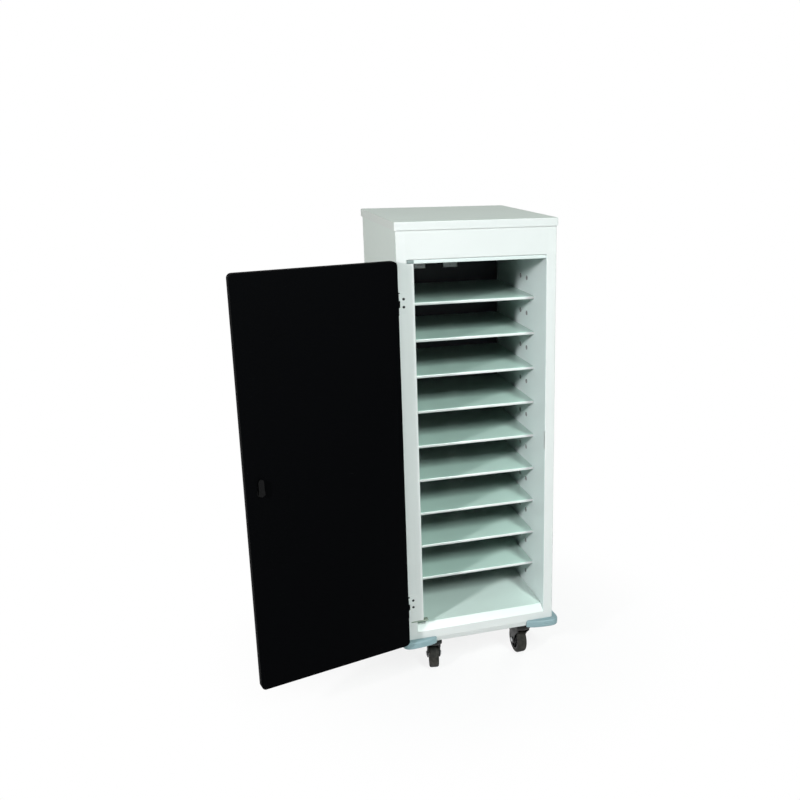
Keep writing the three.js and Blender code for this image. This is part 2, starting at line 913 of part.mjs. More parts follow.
for (const [index, place] of ['lower', 'upper'].entries()) {
  const { frameLeaf, doorLeaf, pin } = hingeParts(hingeHeights[index]);
  const leafMesh = addMesh(`${place}_hinge_frame_leaf`, frameLeaf, 'carcass');
  leafMesh.position.set(hingeX, hingeY, 0);
  const pinMesh = addMesh(`${place}_hinge_pin`, pin, 'door');
  pinMesh.position.set(hingeX, hingeY, 0);
  addMesh(`${place}_hinge_door_leaf`, doorLeaf, 'door', doorGroup);
}

// Lock: a barrel fixed in the door, and a key plug that turns the cam behind the right stile

function lockBarrel() {
  const face = doorOuter - fitGap;
  const flangeFace = face - lockFlangeThickness;
  const end = doorInner + lockNutProud;
  const body = barY(lockX, lockHeight, lockBarrelRadius, face - fitGap, end, roundSides);
  const flange = barY(lockX, lockHeight, lockFlangeRadius, flangeFace, face, roundSides);
  const boreRadius = lockPlugRadius + fitGap;
  const bore = barY(lockX, lockHeight, boreRadius, flangeFace - overcut, end + overcut, roundSides);
  return joined([body, flange]).subtract(bore);
}

function lockCam() {
  const camFront = camFace - hingeY;
  const arm = new THREE.Shape();
  const half = lockCamWidth / 2;
  const boss = lockPlugRadius + lockCamBossMargin;
  const join = Math.sqrt(boss * boss - half * half);
  arm.moveTo(half, join);
  arm.lineTo(half, lockCamLength - half);
  arm.absarc(0, lockCamLength - half, half, 0, Math.PI);
  arm.lineTo(-half, join);
  arm.absarc(0, 0, boss, Math.atan2(join, -half), Math.PI * 2 + Math.atan2(join, half));
  return alongY(arm, camFront, camFront + lockCamThickness).translate([lockX, 0, lockHeight]);
}

function lockPlug() {
  const plugFace = doorOuter - lockFlangeThickness;
  const plugEnd = camFace - hingeY - fitGap;
  const plug = barY(lockX, lockHeight, lockPlugRadius, plugFace, plugEnd, roundSides);
  const keyway = block(
    lockX - keywayWidth / 2,
    lockX + keywayWidth / 2,
    plugFace - overcut,
    plugFace + keywayDepth,
    lockHeight - keywayHeight / 2,
    lockHeight + keywayHeight / 2,
  );
  return plug.subtract(keyway);
}

addMesh('lock_barrel', lockBarrel(), 'steel', doorGroup);
addMesh('lock_plug', lockPlug(), 'steel', doorGroup);
addMesh('lock_cam', lockCam(), 'blackPlastic', doorGroup);

// Castors, drawn about the swivel axis with the wheel trailing towards +Y

const legInner = wheelWidth / 2 + forkLegGap;
const legOuter = legInner + forkLeg;
const kingpinEnd = castorPlateBottom - kingpinLength;
const brakePivotY = castorTrail + brakePivotOffset;
const brakePivotZ = wheelRadius * 2 + brakePivotRise;

function castorPlate() {
  const half = castorPlateSize / 2;
  const outline = roundedRectangle(-half, half, -half, half, castorPlateCorner);
  const plate = raised(outline, castorPlateBottom, castorPlateTop);
  const middle = castorPlateBottom + castorPlateThickness / 2;
  const kingpin = barZ(0, 0, kingpinRadius, kingpinEnd, middle);
  const holeRadius = castorPlateHoleDiameter / 2;
  const holes = [];
  for (const sx of [-1, 1]) {
    for (const sy of [-1, 1]) {
      const x = (sx * castorPlateHolePitch) / 2;
      const y = (sy * castorPlateHolePitch) / 2;
      holes.push(barZ(x, y, holeRadius, castorPlateBottom - overcut, castorPlateTop + overcut, holeSides));
    }
  }
  return cutBy(joined([plate, kingpin]), holes);
}

// Side outline (y, z) of a fork leg: the crown, the axle's round foot and, if braked, the pedal's ear
function forkLegOutline(braked) {
  const legTop = headBottom + castorHeadRound / 2;
  const shoulder = headBottom - forkShoulder;
  const footFront = castorTrail - forkFootRadius;
  const footRear = castorTrail + forkFootRadius;
  const shape = new THREE.Shape();
  shape.moveTo(-forkCrown, legTop);
  shape.lineTo(-forkCrown, shoulder);
  shape.quadraticCurveTo(footFront, (shoulder + wheelRadius) / 2, footFront, wheelRadius);
  shape.absarc(castorTrail, wheelRadius, forkFootRadius, Math.PI, Math.PI * 2);
  if (braked) {
    shape.absarc(brakePivotY, brakePivotZ, brakeEarRadius, 0, Math.PI / 2);
  } else {
    shape.lineTo(footRear, shoulder);
    shape.quadraticCurveTo(footRear, headBottom, forkCrown, legTop);
  }
  shape.lineTo(forkCrown, legTop);
  return shape;
}

function castorFork(braked) {
  const r = castorHeadRadius;
  const profile = [
    new THREE.Vector2(0, headBottom),
    new THREE.Vector2(r - castorHeadRound, headBottom),
  ];
  for (let k = 1; k <= roundSteps; k += 1) {
    const a = (k / roundSteps) * (Math.PI / 2);
    profile.push(new THREE.Vector2(
      r - castorHeadRound + castorHeadRound * Math.sin(a),
      headBottom + castorHeadRound * (1 - Math.cos(a)),
    ));
  }
  profile.push(new THREE.Vector2(r, headTop), new THREE.Vector2(0, headTop));
  const turnedHead = solidOf(new THREE.LatheGeometry(profile, roundSides).rotateX(Math.PI / 2));
  const side = castorHeadWidth / 2;
  const end = r + overcut;
  const head = cutBy(turnedHead, [
    block(side, end, -end, end, headBottom - overcut, headTop + overcut),
    block(-end, -side, -end, end, headBottom - overcut, headTop + overcut),
  ]);
  const legOutline = forkLegOutline(braked);
  const legs = [alongX(legOutline, legInner, legOuter), alongX(legOutline, -legOuter, -legInner)];
  const reach = legOuter + overcut;
  const bores = [
    barZ(0, 0, kingpinRadius + fitGap, kingpinEnd - fitGap, headTop + overcut),
    barX(castorTrail, wheelRadius, axleRadius + fitGap, -reach, reach),
  ];
  if (braked) {
    bores.push(barX(brakePivotY, brakePivotZ, brakePinRadius + fitGap, -reach, reach));
  }
  return cutBy(joined([head, ...legs]), bores);
}

// Wheel: a rounded tread, a recessed web and a hub, turned about the axle
function castorWheel() {
  const half = wheelWidth / 2;
  const bore = axleRadius + fitGap;
  const web = half - wheelWebInset;
  const profile = [
    [bore, -half],
    [wheelHubRadius, -half],
    [wheelHubRadius, -web],
    [wheelRimRadius, -web],
    [wheelRimRadius, -half],
    [wheelRadius - wheelShoulder, -half],
    [wheelRadius, -half + wheelShoulder],
    [wheelRadius, half - wheelShoulder],
    [wheelRadius - wheelShoulder, half],
    [wheelRimRadius, half],
    [wheelRimRadius, web],
    [wheelHubRadius, web],
    [wheelHubRadius, half],
    [bore, half],
    [bore, -half],
  ].map(([r, x]) => new THREE.Vector2(r, x));
  const wheel = new THREE.LatheGeometry(profile, wheelSides).rotateZ(-Math.PI / 2);
  return solidOf(wheel.translate(0, castorTrail, wheelRadius));
}

function castorAxle() {
  const headFace = legOuter + fitGap;
  const shaftEnd = headFace + axleHeadThickness / 2;
  const shaft = barX(castorTrail, wheelRadius, axleRadius, -shaftEnd, shaftEnd);
  const heads = [-headFace - axleHeadThickness, headFace].map((x) => (
    barX(castorTrail, wheelRadius, axleHeadRadius, x, x + axleHeadThickness, hexSides)
  ));
  return joined([shaft, ...heads]);
}

// Brake pedal: a lever with a turned-up toe, on a pin between the fork's ears
function brakePedal() {
  const half = legInner - brakeSideGap;
  const underside = brakePivotZ - brakePedalThickness / 2;
  const profile = bentSheet([
    [brakePivotY, underside],
    [brakePivotY + brakePedalLength - brakeToeLength, underside],
    [brakePivotY + brakePedalLength, underside + brakeToeRise],
  ], brakePedalThickness);
  const pinEnd = legOuter + pinProud;
  return joined([
    alongX(profile, -half, half),
    barX(brakePivotY, brakePivotZ, brakeBossRadius, -half, half),
    barX(brakePivotY, brakePivotZ, brakePinRadius, -pinEnd, pinEnd),
  ]);
}

const castorPlaces = [
  ['front_left', -halfWidth + castorInsetX, front + castorInsetY, castorFrontLeftAngle, true],
  ['front_right', halfWidth - castorInsetX, front + castorInsetY, castorFrontRightAngle, true],
  ['rear_left', -halfWidth + castorInsetX, rear - castorInsetY, castorRearAngle, false],
  ['rear_right', halfWidth - castorInsetX, rear - castorInsetY, castorRearAngle, false],
];
for (const [place, x, y, angle, braked] of castorPlaces) {
  const plateMesh = addMesh(`castor_plate_${place}`, castorPlate(), 'steel');
  plateMesh.position.set(x, y, 0);
  const swivel = new THREE.Group();
  swivel.position.set(x, y, 0);
  swivel.rotation.z = THREE.MathUtils.degToRad(-angle);
  cart.add(swivel);
  addMesh(`castor_fork_${place}`, castorFork(braked), 'castor', swivel);
  addMesh(`castor_wheel_${place}`, castorWheel(), 'tread', swivel);
  addMesh(`castor_axle_${place}`, castorAxle(), 'steel', swivel);
  if (braked) {
    addMesh(`brake_pedal_${place}`, brakePedal(), 'castor', swivel);
  }
}

export default cart;
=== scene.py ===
"""Looks of the laptop charging cart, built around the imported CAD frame. Metres, +Z up."""

import json
import math

import bmesh
import bpy
from mathutils import Matrix, Vector


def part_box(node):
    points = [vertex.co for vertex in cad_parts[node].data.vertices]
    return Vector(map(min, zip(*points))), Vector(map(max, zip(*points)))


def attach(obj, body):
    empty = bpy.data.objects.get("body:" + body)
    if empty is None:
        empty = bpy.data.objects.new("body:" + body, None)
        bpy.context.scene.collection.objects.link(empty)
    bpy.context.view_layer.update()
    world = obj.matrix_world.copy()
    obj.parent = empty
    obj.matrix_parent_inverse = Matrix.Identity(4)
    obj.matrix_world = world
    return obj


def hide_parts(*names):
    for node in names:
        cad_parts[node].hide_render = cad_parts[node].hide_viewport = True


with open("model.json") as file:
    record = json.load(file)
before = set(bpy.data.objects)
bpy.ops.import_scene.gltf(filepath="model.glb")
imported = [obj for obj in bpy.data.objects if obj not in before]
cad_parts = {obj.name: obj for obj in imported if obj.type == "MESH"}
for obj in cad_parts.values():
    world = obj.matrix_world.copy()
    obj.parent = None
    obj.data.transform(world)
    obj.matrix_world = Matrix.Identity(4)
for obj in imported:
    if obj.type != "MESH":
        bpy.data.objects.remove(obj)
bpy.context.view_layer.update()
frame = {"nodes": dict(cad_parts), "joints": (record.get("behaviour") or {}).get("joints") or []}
nodes = frame["nodes"]
joints = {joint["name"]: joint for joint in frame["joints"]}
scene = bpy.context.scene

MM = 0.001
UP = Vector((0, 0, 1))
CORNERS = ("front_left", "front_right", "rear_left", "rear_right")
BRAKED = ("front_left", "front_right")

# Places that several pieces share, read from the frame

SHELVES = [name for name in nodes if name.startswith("shelf_")]
COMPARTMENTS = len(SHELVES) + 1
FLOOR_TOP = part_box("base_plinth")[1].z
SHELF_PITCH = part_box("shelf_2")[1].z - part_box("shelf_1")[1].z
SIDE_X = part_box("rear_cover")[1].x
FRONT_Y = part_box("side_panel_left")[0].y
REAR_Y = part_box("rear_cover")[1].y

# Materials


class Look:
    """A Principled material with helpers for the procedural parts that feed it."""

    def __init__(self, name):
        self.material = bpy.data.materials.new(name)
        self.material.use_nodes = True
        self.tree = self.material.node_tree
        self.tree.nodes.clear()
        output = self.tree.nodes.new("ShaderNodeOutputMaterial")
        self.shader = self.tree.nodes.new("ShaderNodeBsdfPrincipled")
        self.tree.links.new(self.shader.outputs["BSDF"], output.inputs["Surface"])
        self.place = self.tree.nodes.new("ShaderNodeTexCoord").outputs["Object"]

    def set(self, **values):
        for key, value in values.items():
            self.shader.inputs[key.replace("_", " ")].default_value = value
        return self

    def feed(self, socket, name):
        self.tree.links.new(socket, self.shader.inputs[name])

    def noise(self, scale, detail=2.0, roughness=0.5):
        node = self.tree.nodes.new("ShaderNodeTexNoise")
        node.inputs["Scale"].default_value = scale
        node.inputs["Detail"].default_value = detail
        node.inputs["Roughness"].default_value = roughness
        self.tree.links.new(self.place, node.inputs["Vector"])
        return node.outputs["Fac"]

    def cells(self, scale):
        node = self.tree.nodes.new("ShaderNodeTexVoronoi")
        node.inputs["Scale"].default_value = scale
        self.tree.links.new(self.place, node.inputs["Vector"])
        return node.outputs["Color"]

    def looking(self, axis):
        """1 on faces of the object that look along minus that axis, 0 on the rest."""
        split = self.tree.nodes.new("ShaderNodeSeparateXYZ")
        source = self.tree.nodes.new("ShaderNodeTexCoord")
        self.tree.links.new(source.outputs["Normal"], split.inputs["Vector"])
        return self.spread(split.outputs[axis], start=-0.5, end=-0.8)

    def spread(self, socket, low=0.0, high=1.0, start=0.3, end=0.7):
        """Maps start to low and end to high, with no value past either."""
        node = self.tree.nodes.new("ShaderNodeMapRange")
        node.inputs["From Min"].default_value = start
        node.inputs["From Max"].default_value = end
        node.inputs["To Min"].default_value = low
        node.inputs["To Max"].default_value = high
        self.tree.links.new(socket, node.inputs["Value"])
        return node.outputs["Result"]

    def blend(self, factor, first, second):
        """first where factor is 0 and second where it is 1; each is a colour or a socket."""
        node = self.tree.nodes.new("ShaderNodeMix")
        node.data_type = "RGBA"
        self.tree.links.new(factor, node.inputs["Factor"])
        for value, name in ((first, "A"), (second, "B")):
            socket = next(s for s in node.inputs if s.name == name and s.type == "RGBA")
            if isinstance(value, bpy.types.NodeSocket):
                self.tree.links.new(value, socket)
            else:
                socket.default_value = (*value, 1)
        return next(s for s in node.outputs if s.type == "RGBA")

    def bump(self, height, strength, distance, under=None):
        node = self.tree.nodes.new("ShaderNodeBump")
        node.inputs["Strength"].default_value = strength
        node.inputs["Distance"].default_value = distance
        self.tree.links.new(height, node.inputs["Height"])
        if under is not None:
            self.tree.links.new(under, node.inputs["Normal"])
        return node.outputs["Normal"]


def scaled(colour, factor):
    return tuple(min(1.0, c * factor) for c in colour)


def powder_coat(
    name, colour, roughness=0.42, peel=0.02, specular=0.5, underside_shade=None, front=None, left=None
):
    """Stoved paint on sheet steel: a fine orange peel, and a tone that drifts slightly.
    Faces that look down, to the front or to the left can have a colour of their own: painted shade
    below, and on the sides and front shaded and lit copies of the paint."""
    look = Look(name).set(Specular_IOR_Level=specular)
    darker, paler, specked = scaled(colour, 0.975), scaled(colour, 1.005), scaled(colour, 0.96)
    drift = look.spread(look.noise(scale=3.5, detail=3.0), start=0.35, end=0.65)
    fleck = look.spread(look.noise(scale=420.0), high=0.35)
    tone = look.blend(fleck, look.blend(drift, darker, paler), specked)
    # Own colours for faces that look down, to the left or to the front: painted shade below, and shaded
    # and lit copies of the paint on the sides and front
    for axis, own_colour in (("Z", underside_shade), ("X", left), ("Y", front)):
        if own_colour:
            tone = look.blend(look.looking(axis), tone, own_colour)
    look.feed(tone, "Base Color")
    sheen = look.noise(scale=70.0, detail=3.0)
    look.feed(look.spread(sheen, low=roughness - 0.025, high=roughness + 0.03), "Roughness")
    look.feed(look.bump(look.noise(scale=620.0, detail=1.5), strength=peel, distance=0.2 * MM), "Normal")
    return look.material


def moulded(name, colour, roughness=0.5, grain=1500.0, depth=0.12, scuff=0.08, specular=0.5):
    """Injection-moulded plastic: a sparked grain, with paler scuffs in patches."""
    look = Look(name).set(Specular_IOR_Level=specular)
    darker, paler = scaled(colour, 0.93), scaled(colour, 1.04)
    scuffed = tuple(0.55 * c + 0.3 for c in colour)
    cloud = look.noise(scale=38.0, detail=4.0, roughness=0.6)
    patch = look.spread(cloud, high=scuff, start=0.5, end=0.75)
    drift = look.spread(look.noise(scale=9.0), start=0.35, end=0.65)
    look.feed(look.blend(patch, look.blend(drift, darker, paler), scuffed), "Base Color")
    sheen = look.noise(scale=60.0, detail=3.0)
    look.feed(look.spread(sheen, low=roughness - 0.06, high=roughness + 0.08), "Roughness")
    look.feed(look.bump(look.noise(grain, detail=1.0), strength=depth, distance=0.3 * MM), "Normal")
    return look.material


def worn_rubber(name, colour, dust_colour):
    """Wheel rubber with floor dust rubbed into it."""
    look = Look(name).set(Specular_IOR_Level=0.3)
    cloud = look.noise(scale=55.0, detail=5.0, roughness=0.65)
    dust = look.spread(cloud, high=0.6, start=0.42, end=0.72)
    look.feed(look.blend(dust, colour, dust_colour), "Base Color")
    look.feed(look.spread(look.noise(scale=80.0, detail=3.0), low=0.62, high=0.86), "Roughness")
    fine = look.bump(look.noise(scale=900.0), strength=0.25, distance=0.3 * MM)
    coarse = look.noise(scale=130.0, detail=3.0)
    look.feed(look.bump(coarse, strength=0.2, distance=0.6 * MM, under=fine), "Normal")
    return look.material


def plated_steel(name, colour, roughness, spangle):
    """Plated steel with a faint crystal pattern and a fine grain."""
    look = Look(name).set(Metallic=1.0)
    darker, paler, dulled = scaled(colour, 0.86), scaled(colour, 1.08), scaled(colour, 0.7)
    grain = look.noise(scale=260.0, detail=3.0, roughness=0.6)
    tone = look.blend(look.spread(grain), darker, paler)
    crystal = look.tree.nodes.new("ShaderNodeRGBToBW")
    look.tree.links.new(look.cells(scale=150.0), crystal.inputs["Color"])
    faint = look.spread(crystal.outputs["Val"], high=spangle, start=0.2, end=0.9)
    look.feed(look.blend(faint, tone, dulled), "Base Color")
    look.feed(look.spread(grain, low=roughness - 0.07, high=roughness + 0.09), "Roughness")
    look.feed(look.bump(look.noise(scale=1100.0), strength=0.06, distance=0.2 * MM), "Normal")
    return look.material


def sheath(name, colour):
    """Smooth lead sheath with a fine ripple."""
    look = Look(name).set(Specular_IOR_Level=0.4)
    darker, paler = scaled(colour, 0.8), scaled(colour, 1.2)
    drift = look.spread(look.noise(scale=30.0, detail=3.0))
    look.feed(look.blend(drift, darker, paler), "Base Color")
    look.feed(look.spread(look.noise(scale=120.0), low=0.5, high=0.68), "Roughness")
    look.feed(look.bump(look.noise(scale=700.0), strength=0.15, distance=0.3 * MM), "Normal")
    return look.material


WHITE = (0.686, 0.698, 0.694)
# Painted shade: the left panel's sides darker and greener than its front
SIDE_SHADED_WHITE = (0.58, 0.685, 0.62)
WALL_WHITE = (0.68, 0.715, 0.695)
# Painted tint of shade: the right panel's inner wall mintier than the rest of it
WALL_SHADE_MINT = (0.725, 0.84, 0.82)
# Pale paint with a painted mint tint of shade, for the tops of the shelves and the floor
SHELF_SHADE_MINT = (0.70, 0.93, 0.845)
FLOOR_SHADE_MINT = (0.79, 0.94, 0.885)
# Painted shade: the lid's top and sides darker and greener than its front
LID_SHADED_WHITE = (0.58, 0.655, 0.60)
# Painted shade: the ceiling's lip greyer than the frame, for the shade under the header
CEILING_SHADED_GREY = (0.64, 0.70, 0.69)
# Painted shade: near black on the lower faces of the shelves and the ceiling, deepening the shade
# beneath them
UNDERSIDE_SHADE = (0.03, 0.034, 0.034)
BACK_BLACK = (0.011, 0.0145, 0.018)
DOOR_BLACK = (0.0012, 0.0013, 0.0016)
BUMPER_BLUE = (0.245, 0.355, 0.385)
OUTLET_WHITE = (0.89, 0.93, 0.92)
CASE_BLACK = (0.006, 0.0065, 0.007)
SHEATH_BLACK = (0.012, 0.012, 0.014)
LOCK_BLACK = (0.012, 0.0122, 0.0125)
ZINC = (0.52, 0.53, 0.54)
CASTOR_BLACK = (0.003, 0.0033, 0.0033)
TREAD_BROWN = (0.013, 0.0125, 0.0105)
FLOOR_DUST = (0.055, 0.05, 0.042)
SCREW_GREY = (0.05, 0.052, 0.055)
# Painted shade: grey for the cap above the hinge post, standing for a shaded patch there
CAP_SHADE_GREY = (0.20, 0.25, 0.245)
# Painted shade: olive for the plate under the post's foot, standing for a shaded gap there
FOOT_SHADE_OLIVE = (0.27, 0.33, 0.27)
# Grey of the grommets, partly painted shade that darkens the holes in the walls
GROMMET_SHADE_GREY = (0.30, 0.315, 0.31)
# Painted shade: near black for the shade inside screw recesses and outlet contact holes
HOLE_SHADE_BLACK = (0.004, 0.004, 0.0045)

looks = {
    "white_paint": powder_coat("white_powder_coat", WHITE),
    # Shelves: a painted mint tint of shade on their tops, painted shade beneath, white on their front
    # lips
    "shelf_paint": powder_coat(
        "shelf_shade_tinted_powder_coat", SHELF_SHADE_MINT, roughness=0.16, peel=0.004, underside_shade=UNDERSIDE_SHADE, front=WHITE
    ),
    # Left panel: painted shade, darker and greener on its sides than on its front
    "side_shaded_paint": powder_coat("side_shaded_powder_coat", SIDE_SHADED_WHITE, front=WHITE),
    # Right panel: a painted mint tint of shade on its inner wall, white on its front
    "wall_shade_tinted_paint": powder_coat("wall_shade_tinted_powder_coat", WALL_WHITE, front=WHITE, left=WALL_SHADE_MINT),
    # Lid: painted shade, its top and sides darker than its front
    "lid_shaded_paint": powder_coat("lid_shaded_powder_coat", LID_SHADED_WHITE, front=scaled(WHITE, 0.96)),
    # Ceiling: greyer paint as painted shade of its lip under the header, and painted shade beneath
    "ceiling_shaded_paint": powder_coat("ceiling_shaded_powder_coat", CEILING_SHADED_GREY, underside_shade=UNDERSIDE_SHADE),
    # Plinth: a painted mint tint of shade on the floor of the bottom compartment, white on its front
    "floor_shade_tinted_paint": powder_coat("floor_shade_tinted_powder_coat", FLOOR_SHADE_MINT, roughness=0.34, front=WHITE),
    "back_paint": powder_coat("back_powder_coat", BACK_BLACK, roughness=0.55, peel=0.1, specular=0.25),
    "door_paint": powder_coat("door_powder_coat", DOOR_BLACK, roughness=0.55, peel=0.1, specular=0.012),
    "bumper_plastic": moulded("bumper_plastic", BUMPER_BLUE, grain=1400.0, depth=0.15, scuff=0.12),
    "outlet_plastic": moulded(
        "outlet_plastic", OUTLET_WHITE, roughness=0.36, grain=1800.0, depth=0.05, scuff=0.05
    ),
    "black_plastic": moulded("black_plastic", CASE_BLACK, roughness=0.45, depth=0.15, scuff=0.02),
    "lead_sheath": sheath("lead_sheath", SHEATH_BLACK),
    "lock_steel": plated_steel("lock_steel", LOCK_BLACK, roughness=0.38, spangle=0.08),
    "zinc_steel": plated_steel("zinc_steel", ZINC, roughness=0.36, spangle=0.24),
    "castor_plastic": moulded(
        "castor_plastic",
        CASTOR_BLACK,
        roughness=0.42,
        grain=1300.0,
        depth=0.18,
        scuff=0.012,
        specular=0.3,
    ),
    "tread_rubber": worn_rubber("tread_rubber", TREAD_BROWN, FLOOR_DUST),
}
dark_screw = plated_steel("dark_screw", SCREW_GREY, roughness=0.42, spangle=0.12)
grey_shade_cap = moulded("grey_shade_cap", CAP_SHADE_GREY)
olive_shade_plate = moulded("olive_shade_plate", FOOT_SHADE_OLIVE)
grommet_shade_plastic = moulded("grommet_shade_plastic", GROMMET_SHADE_GREY, depth=0.1, scuff=0.06)
hole_shade_dark = moulded(
    "hole_shade_dark", HOLE_SHADE_BLACK, roughness=0.7, grain=1200.0, depth=0.1, scuff=0.0, specular=0.1
)

# The record's slot of each CAD node, by how its name starts; the first that fits counts

SLOT_BY_START = (
    ("shelf_", "shelf_paint"),
    ("back_panel", "back_paint"),
    ("door_", "door_paint"),
    ("lower_hinge_frame_leaf", "white_paint"),
    ("upper_hinge_frame_leaf", "white_paint"),
    ("lower_hinge_", "door_paint"),
    ("upper_hinge_", "door_paint"),
    ("bumper_", "bumper_plastic"),
    ("outlet_strip_", "outlet_plastic"),
    ("outlet_lead_", "lead_sheath"),
    ("mains_lead", "lead_sheath"),
    ("power_unit", "black_plastic"),
    ("mains_inlet", "black_plastic"),
    ("lock_", "lock_steel"),
    ("castor_plate_", "zinc_steel"),
    ("castor_axle_", "zinc_steel"),
    ("castor_fork_", "castor_plastic"),
    ("castor_wheel_", "tread_rubber"),
    ("brake_pedal_", "castor_plastic"),
)

# White-painted nodes whose paint looks different in the photograph; their own paints carry painted shade
# and painted tints of shade

OWN_PAINT = {
    "side_panel_left": "side_shaded_paint",
    "side_panel_right": "wall_shade_tinted_paint",
    "base_plinth": "floor_shade_tinted_paint",
    "compartment_ceiling": "ceiling_shaded_paint",
    "top_lid": "lid_shaded_paint",
}


def slot_of(node):
    return next((slot for start, slot in SLOT_BY_START if node.startswith(start)), "white_paint")


def paint(obj, material):
    obj.data.materials.clear()
    obj.data.materials.append(material)


for name, node in nodes.items():
    paint(node, looks[OWN_PAINT.get(name, slot_of(name))])

# Shading of the carried-over CAD nodes

SHARP_ANGLE = math.radians(36)
FLAT_ANGLE = math.radians(0.6)
ROUNDED_ANGLE = math.radians(50)
WELD_REACH = 0.01 * MM


def edge_shading():
    """Smooth faces with edges over the sharp angle kept sharp, as a modifier's node group."""
    group = bpy.data.node_groups.new("edge_shading", "GeometryNodeTree")
    for side in ("INPUT", "OUTPUT"):
        group.interface.new_socket("Geometry", in_out=side, socket_type="NodeSocketGeometry")
    start = group.nodes.new("NodeGroupInput")
    end = group.nodes.new("NodeGroupOutput")
    faces = group.nodes.new("GeometryNodeSetShadeSmooth")
    faces.domain = "FACE"
    edges = group.nodes.new("GeometryNodeSetShadeSmooth")
    edges.domain = "EDGE"
    angle = group.nodes.new("GeometryNodeInputMeshEdgeAngle")
    flat = group.nodes.new("FunctionNodeCompare")
    flat.operation = "LESS_EQUAL"
    flat.inputs[1].default_value = SHARP_ANGLE
    link = group.links.new
    link(start.outputs[0], faces.inputs["Geometry"])
    link(faces.outputs[0], edges.inputs["Geometry"])
    link(angle.outputs["Unsigned Angle"], flat.inputs[0])
    link(flat.outputs[0], edges.inputs["Shade Smooth"])
    link(edges.outputs[0], end.inputs[0])
    return group


SHADING = edge_shading()


def dress(node, bevel=0.0):
    """Welds a CAD node's facets into faces, rounds its sharp edges and shades it, by modifiers."""
    modifiers = nodes[node].modifiers
    join = modifiers.new("join", "WELD")
    join.merge_threshold = WELD_REACH
    flatten = modifiers.new("flatten", "DECIMATE")
    flatten.decimate_type = "DISSOLVE"
    flatten.angle_limit = FLAT_ANGLE
    if bevel:
        rounding = modifiers.new("rounding", "BEVEL")
        rounding.width = bevel
        rounding.segments = 2
        rounding.limit_method = "ANGLE"
        rounding.angle_limit = ROUNDED_ANGLE
        rounding.miter_outer = "MITER_ARC"
    shade = modifiers.new("shade", "NODES")
    shade.node_group = SHADING
    if bevel:
        even = modifiers.new("even", "WEIGHTED_NORMAL")
        even.weight = 100
        even.keep_sharp = True


# Tools for the pieces made here

# An outline drawn in X and Z, raised to the front
FRONTWARDS = Matrix.Rotation(math.pi / 2, 4, "X")
# An outline drawn in Y and Z, raised along X
SIDEWAYS = Matrix(((0, 0, 1, 0), (1, 0, 0, 0), (0, 1, 0, 0), (0, 0, 0, 1)))
# A turned profile, with its axis along X
CROSSWISE = Matrix.Rotation(math.pi / 2, 4, "Y")
UNTURNED = Matrix.Identity(4)
# A rounded block's corner radius in edge radii, its least width in corner radii, and its largest
# edge radius in corner radii
BLOCK_CORNER = 1.5
BLOCK_FIT = 2.01
BLOCK_RIM = 0.95
TINY = 1e-9


def piece(name, bm, material, body, instead_of=()):
    """Makes an object of a bmesh that is already in place, and parents it to an empty named for its
    body.
    """
    bmesh.ops.recalc_face_normals(bm, faces=bm.faces)
    mesh = bpy.data.meshes.new(name)
    bm.to_mesh(mesh)
    bm.free()
    obj = bpy.data.objects.new(name, mesh)
    scene.collection.objects.link(obj)
    mesh.materials.append(material)
    for polygon in mesh.polygons:
        polygon.use_smooth = True
    mesh.set_sharp_from_angle(angle=SHARP_ANGLE)
    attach(obj, body)
    if instead_of:
        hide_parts(*instead_of)


def in_metres(points):
    """The points, in metres, of a profile or an outline that is written in millimetres."""
    return [(u * MM, v * MM) for u, v in points]


def rings(bm, loops, wrap=False):
    """Skins a row of equal loops of points, closed by end caps or, with wrap, on itself."""
    made = [[bm.verts.new(p) for p in loop] for loop in loops]
    count = len(made[0])
    pairs = list(zip(made, made[1:]))
    if wrap:
        pairs.append((made[-1], made[0]))
    for lower, upper in pairs:
        for i in range(count):
            j = (i + 1) % count
            bm.faces.new((lower[i], lower[j], upper[j], upper[i]))
    if not wrap:
        bm.faces.new(list(reversed(made[0])))
        bm.faces.new(made[-1])


def turned(bm, profile, matrix, segments, wrap=False, flats=None):
    """Turns (radius, height) points about Z, then places them; wrap closes the profile on itself,
    and flats cuts the sides off at that distance along X."""
    loops = []
    for radius, height in profile:
        loop = []
        for k in range(segments):
            a = 2 * math.pi * k / segments
            x = radius * math.cos(a)
            if flats:
                x = max(-flats, min(flats, x))
            loop.append(matrix @ Vector((x, radius * math.sin(a), height)))
        loops.append(loop)
    rings(bm, loops, wrap)


def arc(cu, cv, radius, start, end, steps):
    """Points on an arc, in degrees."""
    points = []
    for k in range(steps + 1):
        a = math.radians(start + (end - start) * k / steps)
        points.append((cu + radius * math.cos(a), cv + radius * math.sin(a)))
    return points


def bezier(points, steps):
    """Points on a Bezier curve of any order, without its last point."""
    out = []
    for k in range(steps):
        t = k / steps
        row = [Vector(p) for p in points]
        while len(row) > 1:
            row = [a.lerp(b, t) for a, b in zip(row, row[1:])]
        out.append(row[0])
    return out


def rounded_rectangle(u0, u1, v0, v1, radius, steps):
    return (
        arc(u1 - radius, v0 + radius, radius, -90, 0, steps)
        + arc(u1 - radius, v1 - radius, radius, 0, 90, steps)
        + arc(u0 + radius, v1 - radius, radius, 90, 180, steps)
        + arc(u0 + radius, v0 + radius, radius, 180, 270, steps)
    )


def inset_outline(outline, distance):
    """Moves each point of an outline inwards along its own normal."""
    moved = []
    count = len(outline)
    for i in range(count):
        before = Vector(outline[i - 1])
        here = Vector(outline[i])
        after = Vector(outline[(i + 1) % count])
        along = (after - here).normalized() + (here - before).normalized()
        along.normalize()
        moved.append(here + Vector((-along.y, along.x)) * distance)
    return moved


